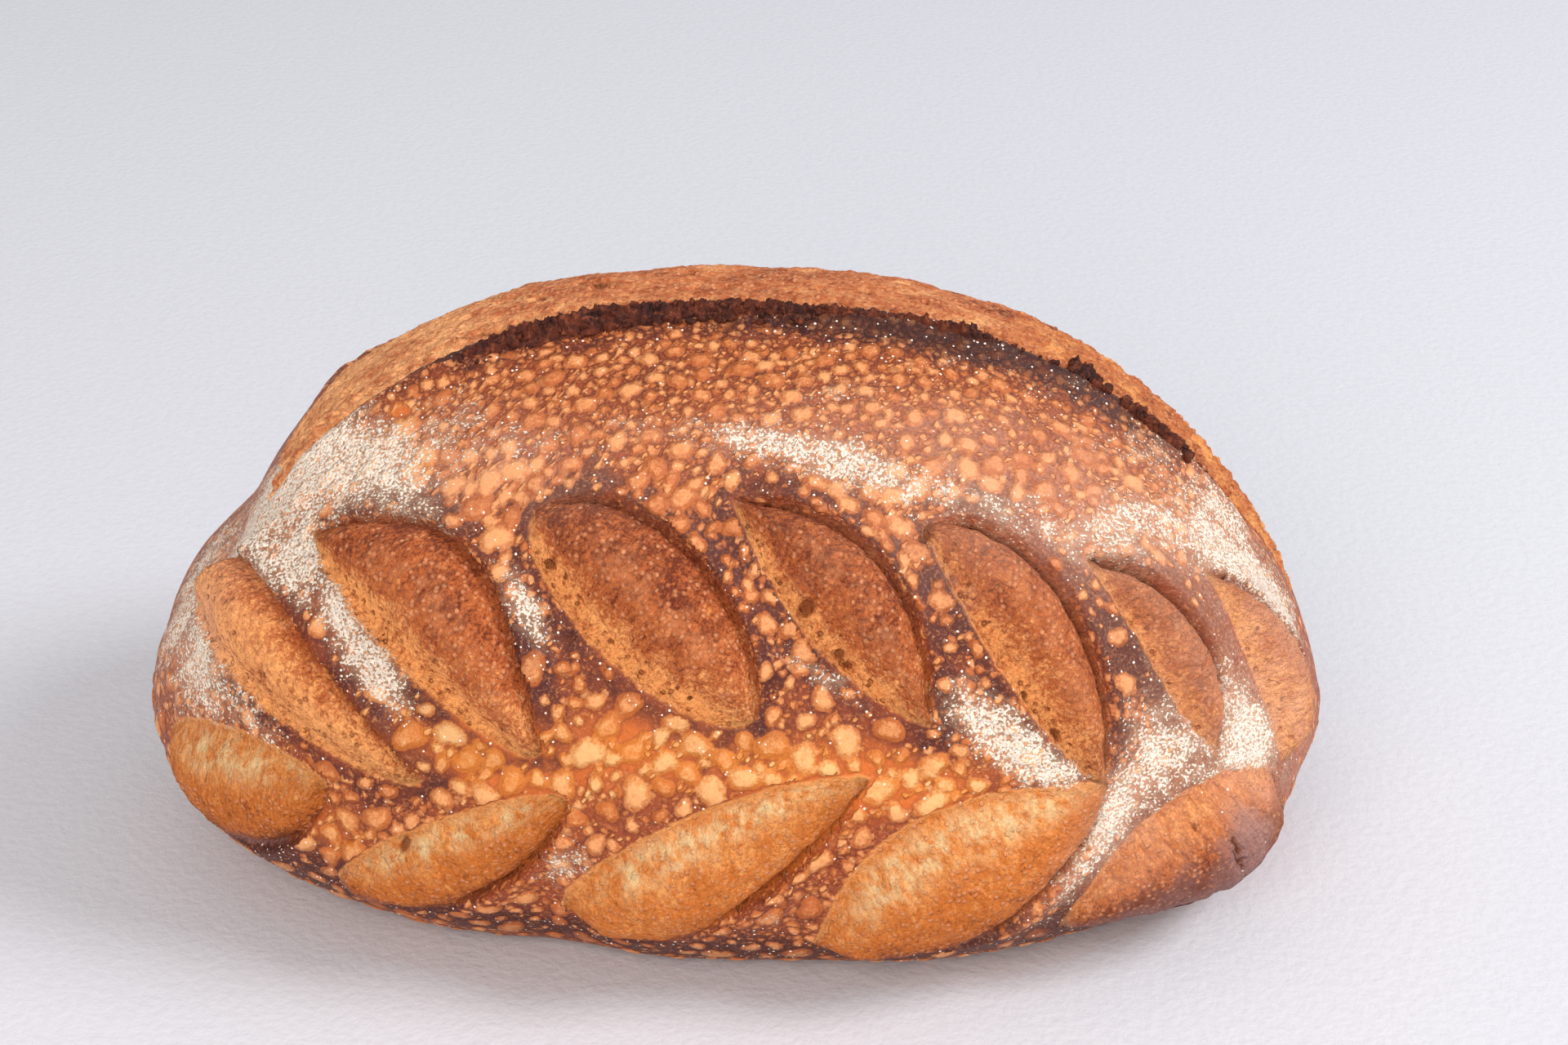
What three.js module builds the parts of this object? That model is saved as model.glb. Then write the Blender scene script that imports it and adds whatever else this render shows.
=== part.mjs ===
// A large sourdough loaf, a batard with one long ear along the crown, behind it the opened bloom,
// and twelve leaf-shaped cuts down its front. One solid: the crust carries every cut and fold.
// Millimetres, +Z up. X runs along the loaf, the leaves face -Y, the flat base rests on Z = 0.
import * as THREE from 'three';

// ---- the loaf's body
const HALF_LENGTH = 140;
const FRONT = 80; // from the ridge line to the widest front
const BACK = 84;
const HEIGHT = 131;
const BELLY = 34; // height of the widest line
const TUCK = 1.5; // how far the sides would turn in below the belly, in bellies
const RIDGE = 4; // the ridge line lies this far behind the middle
const PLAN_ROUND = 2.3;
const CROWN_ROUND = 2.6;
const CROWN_FALL = 0.68;
const FRONT_ROUND = 2.25;
const BACK_ROUND = 2.2;
const FLOOR_ROUND = 3; // radius where the sides meet the base

// ---- the ear and the bloom
const EAR_ANGLE = 88; // degrees round the section from the front, at the ear's highest point
const EAR_CENTRE = 20;
const EAR_FALL_LEFT = 22; // degrees lost over the reach
const EAR_REACH_LEFT = 129;
const EAR_FALL_RIGHT = 6;
const EAR_REACH_RIGHT = 100;
const EAR_HALF = 118; // half-length over which the lip stands free
const EAR_ROWS = [
  { back: -9, rise: 0.5 },
  { back: -4, rise: 1.6 },
  { back: -0.8, rise: 3.6 },
  { back: 1.4, rise: 3.8 },
  { back: 2.2, rise: -0.6 },
  { back: 4.6, rise: -2.2 },
  { back: 9, rise: -0.6 },
];
const CRAG = 2.6; // torn, burnt teeth on the lip
const CRAG_HALF = 64;
const BLOOM_WIDTH = 58; // degrees
const BLOOM_CENTRE = 12;
const BLOOM_HALF = 122;
const BLOOM_RISE = 2;
const BLOOM_GRAIN = 0.5;
const REAR_STEP = 2.2; // the back crust's edge stands above the bloom
const END_NOTCH = 6; // the back drops behind the crust near the left end
const NOTCH_SPAN = [-136, -118, -112, -94]; // where it starts, is full, and ends

// ---- leaf cuts. start and end are [x, z] on the front; low and high are the outline's two sides,
// ---- each [reach, place along the cut, fullness]; swell, dip, crease and lip are mm of relief.
// ---- A cut has a torn side and a side that dives under the crust from creaseFrom along it.
const UPPER = { tornHigh: false, creaseFrom: 0, swell: 4.2, dip: 2.6, crease: 3.6, lip: 1.8 };
const LOWER = { tornHigh: true, creaseFrom: 0.45, swell: 3.5, dip: 0.9, crease: 2.8, lip: 1.4 };
const LEAVES = [
  { ...UPPER, start: [-124, 71], end: [-64, 54], low: [5.5, 0.72, 1.2], high: [18, 0.35, 2.0], dip: 1.8 },
  { ...UPPER, start: [-90, 96], end: [-37, 64], low: [6.8, 0.6, 0.9], high: [22.5, 0.43, 2.1] },
  { ...UPPER, start: [-40, 109], end: [8, 73], low: [12, 0.5, 1.1], high: [17.3, 0.45, 1.3], swell: 5 },
  { ...UPPER, start: [2, 113], end: [46, 71], low: [7.6, 0.54, 2.0], high: [15.3, 0.47, 1.9], dip: 3.2 },
  { ...UPPER, start: [43, 108], end: [84, 54], low: [5.7, 0.57, 1.3], high: [16, 0.4, 1.5], crease: 4.2 },
  { ...UPPER, start: [78, 98], end: [109, 54], low: [3.2, 0.7, 1.6], high: [13, 0.54, 1.3], dip: 3.8 },
  { ...UPPER, start: [106, 87], end: [125, 43], low: [1.6, 0.6, 1.0], high: [19, 0.66, 1.4], dip: 1.2 },
  { ...LOWER, start: [-127, 41], end: [-86, 47], low: [22.5, 0.38, 1.0], high: [8.8, 0.48, 1.4] },
  { ...LOWER, start: [-85, 19], end: [-32, 53], low: [13.3, 0.47, 1.5], high: [8.4, 0.45, 1.1] },
  { ...LOWER, start: [-34, 23], end: [33, 60], low: [16.5, 0.32, 1.4], high: [11, 0.45, 1.3] },
  { ...LOWER, start: [22, 17], end: [84, 54], low: [17, 0.42, 1.1], high: [18.5, 0.46, 2.0] },
  { ...LOWER, start: [75, 17], end: [122, 43], low: [24, 0.72, 1.6], high: [16, 0.55, 1.5] },
];
const DIP_WIDTH = 3;
const CREASE_WIDTH = 5.5;
const LIP_WIDTH = 5;
const EDGE_SOFT = 2.2; // the crust rolls into a cut over this distance either side of its outline

// ---- swellings of the whole side: [x, z, half-width along x, half-width in z, mm outward]
const LOBES = [
  [-112, 38, 20, 22, 2.0],
  [-62, 32, 24, 24, 1.0],
  [-36, 16, 14, 20, -2.5],
  [-5, 30, 28, 26, 2.5],
  [56, 28, 28, 26, 4.0],
  [112, 26, 20, 24, 3.5],
  [-104, 76, 26, 22, 2.0],
];

// ---- how finely the surface is divided
const COLUMNS = 106; // every second one only, on the bloom, the back and the base
const CROWDING = 0.32; // columns drawn from the ends to the middle
const LEAF_ROWS = 34;
const LEAF_TOP = 57; // degrees, above the highest cut
const CROWN_ROWS = 5;
const BLOOM_ROWS = 6;
const BACK_ROWS = 9;
const UNDER_ROWS = 2;

const degrees = Math.PI / 180;
const clamp = (v, lo, hi) => Math.min(hi, Math.max(lo, v));
const smooth = (a, b, v) => {
  const f = clamp((v - a) / (b - a), 0, 1);
  return f * f * (3 - 2 * f);
};
const bell = (v) => Math.exp(-v * v);
// an uneven wave between -1 and 1
const wander = (a, phase) => {
  const slow = 0.5 * Math.sin(0.31 * a + phase);
  const middle = 0.3 * Math.sin(0.73 * a + 2.3 * phase);
  return slow + middle + 0.2 * Math.sin(1.41 * a + 0.7 * phase);
};

const planScale = (x) => (1 - Math.abs(x / HALF_LENGTH) ** PLAN_ROUND) ** (1 / PLAN_ROUND);
const crownScale = (x) => (1 - Math.abs(x / HALF_LENGTH) ** CROWN_ROUND) ** CROWN_FALL;

// The plain loaf at a station x and an angle round its section: 0 the front, a quarter turn the crown.
function body(x, angle) {
  const c = Math.cos(angle);
  const s = Math.sin(angle);
  const power = 2 / (c > 0 ? FRONT_ROUND : BACK_ROUND);
  const reach = c > 0 ? -(FRONT + RIDGE) : BACK - RIDGE;
  const rise = s > 0 ? (HEIGHT - BELLY) * crownScale(x) : -BELLY * TUCK * planScale(x);
  return new THREE.Vector3(
    x,
    RIDGE + reach * planScale(x) * Math.abs(c) ** power,
    BELLY + rise * Math.abs(s) ** power,
  );
}

function outward(x, angle) {
  const dx = x > 0 ? -0.05 : 0.05;
  const along = body(x + dx, angle).sub(body(x, angle)).multiplyScalar(Math.sign(dx));
  const round = body(x, angle + 1e-3).sub(body(x, angle - 1e-3));
  return along.cross(round).normalize();
}

function angleAt(x, z) {
  if (z >= BELLY) {
    const share = (z - BELLY) / ((HEIGHT - BELLY) * crownScale(x));
    return Math.asin(Math.min(1, share) ** (FRONT_ROUND / 2));
  }
  const share = (BELLY - z) / (BELLY * TUCK * planScale(x));
  return -Math.asin(Math.min(1, share) ** (FRONT_ROUND / 2));
}

// Sides that reach the floor flatten onto it.
function restOnFloor(z) {
  if (z > FLOOR_ROUND) return z;
  return z < -FLOOR_ROUND ? 0 : (z + FLOOR_ROUND) ** 2 / (4 * FLOOR_ROUND);
}

// ---- leaf cuts
for (const leaf of LEAVES) {
  const [x0, z0] = leaf.start;
  const [x1, z1] = leaf.end;
  leaf.origin = body(x0, angleAt(x0, z0));
  const span = body(x1, angleAt(x1, z1)).sub(leaf.origin);
  leaf.length = span.length();
  leaf.heading = span.normalize();
  const xm = (x0 + x1) / 2;
  const facing = outward(xm, angleAt(xm, (z0 + z1) / 2));
  leaf.facing = facing.addScaledVector(leaf.heading, -facing.dot(leaf.heading)).normalize();
  leaf.aside = leaf.facing.clone().cross(leaf.heading);
}

function bulge(along, [reach, place, fullness]) {
  const s = clamp(along, 0, 1);
  const a = fullness * place;
  const b = fullness * (1 - place);
  return (reach * s ** a * (1 - s) ** b) / (place ** a * (1 - place) ** b);
}

// Where a point lies against a leaf: how far outside it, how far past each side, how far along.
function against(leaf, point) {
  const d = point.clone().sub(leaf.origin);
  const along = d.dot(leaf.heading) / leaf.length;
  const t = d.dot(leaf.aside);
  const h = 0.01;
  const slope = (side) =>
    (bulge(along + h, side) - bulge(along - h, side)) / (2 * h * leaf.length);
  const high = (t - bulge(along, leaf.high)) / Math.hypot(1, slope(leaf.high));
  const low = (-bulge(along, leaf.low) - t) / Math.hypot(1, slope(leaf.low));
  const level = Math.abs(d.dot(leaf.facing)) < 40;
  let gap = Math.max(high, low);
  if (along <= 0 || along >= 1) {
    gap = Math.hypot((along - clamp(along, 0, 1)) * leaf.length, t);
  }
  return { leaf, gap: level ? gap : 99, high, low, along };
}

function nearestLeaf(point) {
  let best = { gap: 99 };
  for (const leaf of LEAVES) {
    const here = against(leaf, point);
    if (here.gap < best.gap) best = here;
  }
  return best;
}

function leafRelief({ leaf, gap, high, low, along }) {
  if (gap > 20) return 0;
  const ends = smooth(-0.03, 0.12, along) * smooth(1.03, 0.9, along);
  const torn = Math.max(0, -(leaf.tornHigh ? high : low));
  const inner = Math.max(0, -(leaf.tornHigh ? low : high));
  const dives = smooth(leaf.creaseFrom - 0.15, leaf.creaseFrom + 0.1, along);
  const across = torn / Math.max(0.1, torn + inner);
  const raised = 0.35 + 0.65 * dives * smooth(0.3, 0.7, across);
  const lip = leaf.lip * raised * bell(Math.max(0, gap) / LIP_WIDTH);
  const swell = leaf.swell * Math.sin(Math.PI * across) ** 0.8;
  const dip = ((leaf.dip * torn) / DIP_WIDTH) * Math.exp(1 - torn / DIP_WIDTH);
  const crease = leaf.crease * dives * bell(inner / CREASE_WIDTH);
  const within = smooth(EDGE_SOFT, -EDGE_SOFT, gap);
  return (lip * (1 - within) + (swell - dip - crease) * within) * ends;
}

function lobeRelief(x, z) {
  let out = 0;
  for (const [cx, cz, wx, wz, rise] of LOBES) out += rise * bell((x - cx) / wx) * bell((z - cz) / wz);
  return out;
}

// ---- the ear and the bloom behind it
function earAngle(x) {
  const d = x - EAR_CENTRE;
  const fall = d < 0
    ? EAR_FALL_LEFT * (-d / EAR_REACH_LEFT) ** 2.7
    : EAR_FALL_RIGHT * (d / EAR_REACH_RIGHT) ** 2;
  return (EAR_ANGLE - fall) * degrees;
}
const bloomShare = (x) => clamp(1 - Math.abs((x - BLOOM_CENTRE) / BLOOM_HALF) ** 2.2, 0, 1);
const earShare = (x) => clamp(1 - Math.abs((x - 6) / EAR_HALF) ** 5, 0.08, 1);
const stretch = (x, angle) => body(x, angle + 0.01).distanceTo(body(x, angle - 0.01)) / 0.02;

// ---- the skin's points, given by a station x and an angle, or by the rows below
function skinPoint(x, angle, relief, cut) {
  const base = body(x, angle);
  const full = smooth(0.02, 0.3, planScale(x));
  const front = smooth(1.45, 1.0, angle) * smooth(-1.5, -1.1, angle);
  const out = relief + (cut ? leafRelief(nearestLeaf(base)) : 0) + lobeRelief(x, base.z) * front;
  const point = base.addScaledVector(outward(x, angle), out * full);
  point.z = restOnFloor(point.z);
  return point;
}

// One section: the rows round the loaf at a station x, each an angle, a relief and whether it is cut.
function section(x) {
  const foot = Math.min(78 * degrees, Math.asin(Math.min(1, 1 / (TUCK * planScale(x)))));
  const ear = earAngle(x);
  const mm = 1 / Math.max(25, stretch(x, ear - 0.1));
  const bloom = bloomShare(x);
  const lip = earShare(x);
  const teeth = CRAG * bell((x - 2) / CRAG_HALF) ** 2 * (0.6 + wander(x * 0.9, 1.3));
  const [low, lowFull, highFull, high] = NOTCH_SPAN;
  const notch = -END_NOTCH * smooth(low, lowFull, x) * smooth(high, highFull, x);
  const step = REAR_STEP * smooth(0, 0.4, bloom);
  const foldStart = ear + EAR_ROWS[0].back * mm;
  const leafTop = Math.min(LEAF_TOP * degrees, foldStart - 0.15);
  const foldEnd = ear + 15 * mm;
  const rear = foldEnd + 4 * mm + (BLOOM_WIDTH * bloom + 6) * degrees;
  const backFoot = Math.PI + foot;

  const rows = [];
  const band = (name, from, to, count, relief) => {
    for (let i = 0; i < count; i++) {
      const f = i / count;
      rows.push({ name, angle: from + (to - from) * f, relief: relief ? relief(f) : 0 });
    }
  };
  band('front', -foot, leafTop, LEAF_ROWS);
  band('front', leafTop, foldStart, CROWN_ROWS);
  for (const row of EAR_ROWS) {
    const tooth = row.rise > 3 ? teeth : 0;
    const drop = notch * smooth(-9, 9, row.back);
    rows.push({ name: 'ear', angle: ear + row.back * mm, relief: row.rise * lip + tooth + drop });
  }
  band('back', foldEnd, rear, BLOOM_ROWS, (f) => {
    const swell = BLOOM_RISE * bloom ** 2 * smooth(0, 0.25, f) * smooth(1.15, 0.7, f);
    return swell + notch + BLOOM_GRAIN * bloom * wander(x * 0.8 + f * 21, 4 * f);
  });
  band('back', rear, backFoot, BACK_ROWS, (f) => {
    const edge = f === 0 ? -0.4 : bell((f - 0.08) / 0.12);
    return step * edge + notch * smooth(0.7, 0, f);
  });
  band('back', backFoot, 1.5 * Math.PI, UNDER_ROWS);
  band('back', 1.5 * Math.PI, 2 * Math.PI - foot, UNDER_ROWS);
  return rows;
}

// ---- the closed skin
function station(column) {
  const v = column / COLUMNS;
  const turn = Math.PI * v + (CROWDING / 2) * Math.sin(2 * Math.PI * v);
  return -HALF_LENGTH * Math.cos(turn);
}

function skin() {
  const points = [];
  const places = []; // each point's station, angle and whether the cuts reach it
  const grid = []; // grid[column][row] is the point's number, or -1 where the column is left out
  for (let column = 1; column < COLUMNS; column++) {
    const x = station(column);
    grid.push(section(x).map(({ name, angle, relief }) => {
      if (name === 'back' && column % 2 === 1) return -1;
      const cut = name === 'front';
      places.push({ x, angle, cut });
      points.push(skinPoint(x, angle, relief, cut));
      return points.length - 1;
    }));
  }
  const around = grid[0].length;
  const faces = [];
  // a cell is split along the diagonal that lies nearer the crust at the cell's middle
  const quad = (a, b, c, d) => {
    const corners = [a, b, c, d].map((number) => places[number]);
    const mean = (key) => corners.reduce((sum, corner) => sum + corner[key], 0) / 4;
    const cut = corners.every((corner) => corner.cut);
    const target = cut ? skinPoint(mean('x'), mean('angle'), 0, true) : null;
    const miss = (p, q) => (target
      ? points[p].clone().lerp(points[q], 0.5).distanceTo(target)
      : points[p].distanceTo(points[q]));
    if (miss(a, c) < miss(b, d)) faces.push(a, b, c, a, c, d);
    else faces.push(a, b, d, b, c, d);
  };
  // a fine strip between two rows; where a row leaves columns out, three faces bridge two cells
  for (let row = 0; row < around; row++) {
    const next = (row + 1) % around;
    for (let i = 0; i + 1 < grid.length; i++) {
      const [a, b, c, d] = [grid[i][row], grid[i + 1][row], grid[i + 1][next], grid[i][next]];
      if (Math.min(a, b, c, d) >= 0) quad(a, b, c, d);
    }
    for (let i = 1; i + 2 < grid.length; i += 2) {
      const low = [grid[i][row], grid[i + 1][row], grid[i + 2][row]];
      const high = [grid[i][next], grid[i + 1][next], grid[i + 2][next]];
      if (low[1] < 0 && high[1] < 0) quad(low[0], low[2], high[2], high[0]);
      else if (low[1] < 0) {
        faces.push(low[0], low[2], high[1], low[0], high[1], high[0], low[2], high[2], high[1]);
      } else if (high[1] < 0) {
        faces.push(low[0], low[1], high[0], low[1], high[2], high[0], low[1], low[2], high[2]);
      }
    }
  }
  const ends = [[grid[0], grid[1], -HALF_LENGTH], [grid.at(-1), grid.at(-2), HALF_LENGTH]];
  for (const [end, side, x] of ends) {
    const rim = end.map((number, row) => (number < 0 ? side[row] : number));
    const pole = rim.reduce((sum, number) => sum.add(points[number]), new THREE.Vector3());
    pole.divideScalar(around).setX(x);
    points.push(pole);
    for (let row = 0; row < around; row++) {
      const next = (row + 1) % around;
      const pair = x < 0 ? [rim[row], rim[next]] : [rim[next], rim[row]];
      faces.push(points.length - 1, ...pair);
      // the fine end column stands beside the coarse one where the two kinds of row meet
      if ((end[row] < 0) !== (end[next] < 0)) {
        const third = end[row] < 0 ? side[next] : side[row];
        if (x < 0) faces.push(rim[row], third, rim[next]);
        else faces.push(rim[row], rim[next], third);
      }
    }
  }
  const geometry = new THREE.BufferGeometry().setFromPoints(points);
  geometry.setIndex(faces);
  geometry.computeBoundingBox();
  const box = geometry.boundingBox;
  geometry.translate(-(box.min.x + box.max.x) / 2, -(box.min.y + box.max.y) / 2, -box.min.z);
  geometry.computeVertexNormals();
  return geometry;
}

const crust = new THREE.MeshStandardMaterial({ color: 0xa8602c, roughness: 0.8, metalness: 0 });
const loaf = new THREE.Mesh(skin(), crust);
loaf.name = 'sourdough_loaf';

const group = new THREE.Group();
group.name = 'sourdough_loaf_object';
group.add(loaf);
export default group;
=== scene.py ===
"""A large sourdough loaf: blistered crust with leaf cuts, a burnt ear and the opened bloom behind it.

Lengths in this file are millimetres unless a name says otherwise; meshes are written in metres.
"""
import math
from types import SimpleNamespace

import bpy
import numpy as np
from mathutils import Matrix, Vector, noise


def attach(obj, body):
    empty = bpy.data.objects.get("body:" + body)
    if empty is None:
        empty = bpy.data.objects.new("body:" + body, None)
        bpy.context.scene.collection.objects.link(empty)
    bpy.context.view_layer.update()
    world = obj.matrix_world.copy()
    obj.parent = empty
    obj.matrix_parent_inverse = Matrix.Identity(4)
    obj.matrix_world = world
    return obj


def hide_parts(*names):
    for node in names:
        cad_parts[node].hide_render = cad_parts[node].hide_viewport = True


bl_info = {
    "name": "Sourdough Loaf",
    "version": (1, 0, 0),
    "blender": (4, 5, 0),
    "location": "3D View > Sidebar > Loaf",
    "description": "Models a baked sourdough loaf around its packed CAD frame",
    "category": "Object",
}

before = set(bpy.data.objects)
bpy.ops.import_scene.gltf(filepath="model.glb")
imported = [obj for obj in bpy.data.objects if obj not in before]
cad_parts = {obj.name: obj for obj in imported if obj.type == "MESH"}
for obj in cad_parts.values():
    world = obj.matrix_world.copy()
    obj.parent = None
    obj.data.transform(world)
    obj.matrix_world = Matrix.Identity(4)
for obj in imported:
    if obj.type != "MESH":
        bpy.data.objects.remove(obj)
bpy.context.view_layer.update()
NODE = "sourdough_loaf"
MM = 0.001

# ---- the loaf's body, as in the part's source
HALF_LENGTH = 140
FRONT = 80
BACK = 84
HEIGHT = 131
BELLY = 34
TUCK = 1.5
RIDGE = 4
PLAN_ROUND = 2.3
CROWN_ROUND = 2.6
CROWN_FALL = 0.68
FRONT_ROUND = 2.25
BACK_ROUND = 2.2
FLOOR_ROUND = 3
CENTRE_SHIFT = 0.419  # along y, from the body's own middle to the middle of the loaf's box

EAR_ANGLE = 88
EAR_CENTRE = 20
EAR_FALL_LEFT = 22
EAR_REACH_LEFT = 129
EAR_FALL_RIGHT = 6
EAR_REACH_RIGHT = 100
EAR_HALF = 118
FOLD_HALF = 9  # mm of the ear's fold on each side of its line
EAR_PROFILE = [  # [mm behind the ear's line, mm outward]
    (-14, 0), (-9, 0.5), (-4, 1.6), (-1.4, 3.0), (0, 3.7), (0.9, 3.6), (2.4, 3.2), (3.2, 0.8), (4.6, -2.4),
    (9, -3.2),
]
TORN_FRONT = [  # [x, mm that the torn edge of the crust lies before the ear's line]
    (-74, -1.5), (-66, -0.4), (-58, 1.8), (-50, 3.6), (-42, 4.4), (-30, 4.2), (-17, 3.3), (-8, 2.3), (2, 1.6),
    (12, 1.2), (20, 0.3), (38, 0.4), (46, 0.9), (54, 1.0), (60, -1.0), (82, -1.2), (88, 0.8), (98, 1.0),
    (105, -0.8),
]
CRAG_HALF = 64
BLOOM_WIDTH = 58
BLOOM_CENTRE = 12
BLOOM_HALF = 122
BLOOM_RISE = 2
BLOOM_TUCK = 4.6  # how far its edges dive under the ear and the rear crust
SUNK = 3.2  # how far the crust lies below its plain form under the bloom
REAR_STEP = 2.2
REAR_BULGE = 3.0
END_NOTCH = 6
END_UNDERCUT = 9
NOTCH_SPAN = (-136, -118, -112, -94)

# ---- leaf cuts, as in the part's source; toast is how dark the belly has baked
UPPER = dict(torn_high=False, crease_from=0, swell=5.2, dip=3.2, crease=4.6, lip=2.0, toast=0.95, gold=0.0)
LOWER = dict(torn_high=True, crease_from=0.45, swell=4.4, dip=1.3, crease=3.6, lip=1.6, toast=0.45)
LEAVES = [
    dict(UPPER, start=(-124, 71), end=(-64, 54), low=(5.5, 0.72, 1.2), high=(18, 0.35, 2.0), dip=1.8,
         toast=0.3, crease=1.6, gold=0.5),
    dict(UPPER, start=(-90, 96), end=(-37, 64), low=(6.8, 0.6, 0.9), high=(22.5, 0.43, 2.1), crease=2.1,
         gold=0.06),
    dict(UPPER, start=(-40, 109), end=(8, 73), low=(12, 0.5, 1.1), high=(17.3, 0.45, 1.3), swell=5,
         toast=1.1, crease=2.2),
    dict(UPPER, start=(2, 113), end=(46, 71), low=(7.6, 0.54, 2.0), high=(15.3, 0.47, 1.9), dip=3.2,
         toast=0.95, crease=3.2),
    dict(UPPER, start=(43, 108), end=(84, 54), low=(5.7, 0.57, 1.3), high=(16, 0.4, 1.5), crease=4.0,
         toast=0.8),
    dict(UPPER, start=(78, 98), end=(109, 54), low=(3.2, 0.7, 1.6), high=(13, 0.54, 1.3), dip=3.8,
         toast=0.9),
    dict(UPPER, start=(106, 87), end=(125, 43), low=(1.6, 0.6, 1.0), high=(19, 0.66, 1.4), dip=1.2,
         toast=0.45),
    dict(LOWER, start=(-127, 41), end=(-86, 47), low=(22.5, 0.38, 1.0), high=(8.8, 0.48, 1.4),
         toast=0.45),
    dict(LOWER, start=(-85, 19), end=(-32, 53), low=(13.3, 0.47, 1.5), high=(8.4, 0.45, 1.1)),
    dict(LOWER, start=(-34, 23), end=(33, 60), low=(16.5, 0.32, 1.4), high=(11, 0.45, 1.3), toast=0.2),
    dict(LOWER, start=(22, 17), end=(84, 54), low=(17, 0.42, 1.1), high=(18.5, 0.46, 2.0)),
    dict(LOWER, start=(75, 17), end=(122, 43), low=(24, 0.72, 1.6), high=(16, 0.55, 1.5), toast=1.15),
]
DIP_WIDTH = 3
CREASE_WIDTH = 2.2
LIP_WIDTH = 5
EDGE_SOFT = 0.8
LEAF_REACH = 20  # mm outside a cut where its lip has faded
FAR = 99  # stands for out of reach of every cut

LOBES = [  # [x, z, half-width along x, half-width in z, mm outward]
    (-112, 38, 20, 22, 2.0), (-62, 32, 24, 24, 1.0), (-36, 16, 14, 20, -2.5), (-5, 30, 28, 26, 2.5),
    (56, 28, 28, 26, 4.0), (112, 26, 20, 24, 3.5), (-104, 76, 26, 22, 2.0),
]

# ---- patches on the front: [x, z, y, half-length, half-width, tilt in degrees, strength]
FLOUR_PATCHES = [
    (-80, 108, -29, 24, 12, 10, 1.3), (-98, 97, -22, 16, 13, 35, 1.2), (-106, 88, -14, 12, 9, 50, 1.0),
    (-112, 84, -24, 12, 7, 40, 0.7), (-60, 118, -26, 10, 7, 0, 0.5), (-64, 101, -50, 10, 6, -20, 0.45),
    (8, 121, -38, 16, 5, -6, 1.0), (28, 118, -43, 16, 5, -12, 0.75), (-19, 122, -35, 8, 4, 0, 0.6),
    (44, 112, -45, 26, 7, -20, 0.5), (70, 103, -44, 20, 6, -30, 0.45), (-42, 117, -38, 14, 7, 0, 0.5),
    (24, 126, -26, 12, 4, -5, 0.4), (98, 95, -28, 22, 8, -38, 0.6), (116, 82, -20, 17, 8, -52, 1.2),
    (126, 68, -18, 10, 8, -65, 1.1), (86, 106, -14, 24, 5, -28, 0.5), (106, 90, -10, 14, 6, -45, 0.8),
    (88, 101, -33, 12, 6, -20, 0.55), (-121, 62, -38, 11, 15, 0, 1.0), (-131, 58, -20, 10, 16, 0, 0.9),
    (-104, 58, -57, 14, 6, -38, 0.6), (-93, 92, -44, 8, 4.5, -50, 1.3), (-83, 85, -55, 10, 4.6, -50, 1.4),
    (-73, 75, -64, 10, 5.4, -45, 1.5), (-41, 92, -64, 12, 3.8, -58, 1.1), (22, 82, -71, 13, 2.8, -34, 0.7),
    (59, 69, -70, 14, 6.5, -42, 1.4), (72, 59, -70, 9, 4.5, -40, 1.2), (99, 58, -60, 14, 12, -40, 1.1),
    (88, 45, -68, 11, 7, 60, 0.8), (79, 34, -72, 16, 4.5, 64, 0.8), (101, 74, -54, 14, 4.5, -62, 0.6),
    (118, 50, -50, 10, 7, 20, 0.9), (131, 56, -32, 12, 5, -80, 0.7), (115, 60, -47, 18, 6, -72, 1.1),
    (-33, 36, -78, 9, 5, 45, 0.85), (12, 24, -80, 8, 4, 40, 0.4), (-97, 86, -40, 10, 8, -20, 0.9),
    (-107, 82, -28, 10, 8, 0, 0.6), (-114, 56, -50, 12, 8, -50, 0.5), (-120, 76, 2, 15, 12, 50, 0.6),
    (-128, 64, -4, 10, 12, 60, 0.8), (-104, 91, -2, 10, 6, 40, 0.5), (117, 87, -8, 17, 6, -52, 0.4),
    (129, 69, -6, 12, 8, -65, 0.5), (106, 97, -6, 12, 5, -42, 0.2), (48, 123, -9, 18, 2.6, -8, 0.32),
    (72, 117, -7, 14, 2.8, -20, 0.3), (92, 108, -7, 12, 3.2, -36, 0.26), (-73, 116, -21, 5, 3, 0, -0.3),
    (-66, 112, -36, 5, 3, 0, -0.25),
]
DARK_PATCHES = [
    (-50, 110, -44, 24, 9, 5, 0.55), (15, 100, -58, 12, 5, -60, 0.7), (50, 96, -58, 12, 5, -55, 0.8),
    (38, 84, -70, 12, 4, -45, 0.5), (90, 80, -55, 12, 5, -60, 0.6), (-42, 84, -68, 9, 5, -50, 0.5),
    (-100, 68, -55, 14, 4, -30, 0.4), (60, 108, -40, 16, 5, -15, 0.3), (119, 31, -55, 8, 13, 20, 1.2),
    (101, 30, -62, 18, 12, 30, 0.62), (112, 16, -58, 12, 5, 30, 0.8), (-110, 22, -60, 30, 10, 0, 0.6),
    (0, 8, -78, 110, 8, 0, 1.3), (95, 8, -62, 30, 6, 0, 0.9), (-100, 12, -60, 30, 7, -10, 0.8),
]
HAZE_PATCHES = [  # a thin rosy dusting too fine to see as grains
    (78, 104, -38, 42, 17, -28, 1.0), (36, 119, -30, 50, 9, -6, 0.5), (-52, 112, -38, 34, 12, 8, 0.6),
    (-114, 68, -38, 12, 18, -20, 0.7), (112, 66, -42, 24, 20, -60, 0.9), (84, 44, -70, 26, 7, 55, 0.5),
    (-122, 66, -20, 14, 18, 0, 0.8), (122, 46, -46, 16, 16, 0, 0.9), (90, 40, -68, 14, 12, 60, 0.7),
    (131, 58, -28, 10, 22, 0, 0.9),
]
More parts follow.
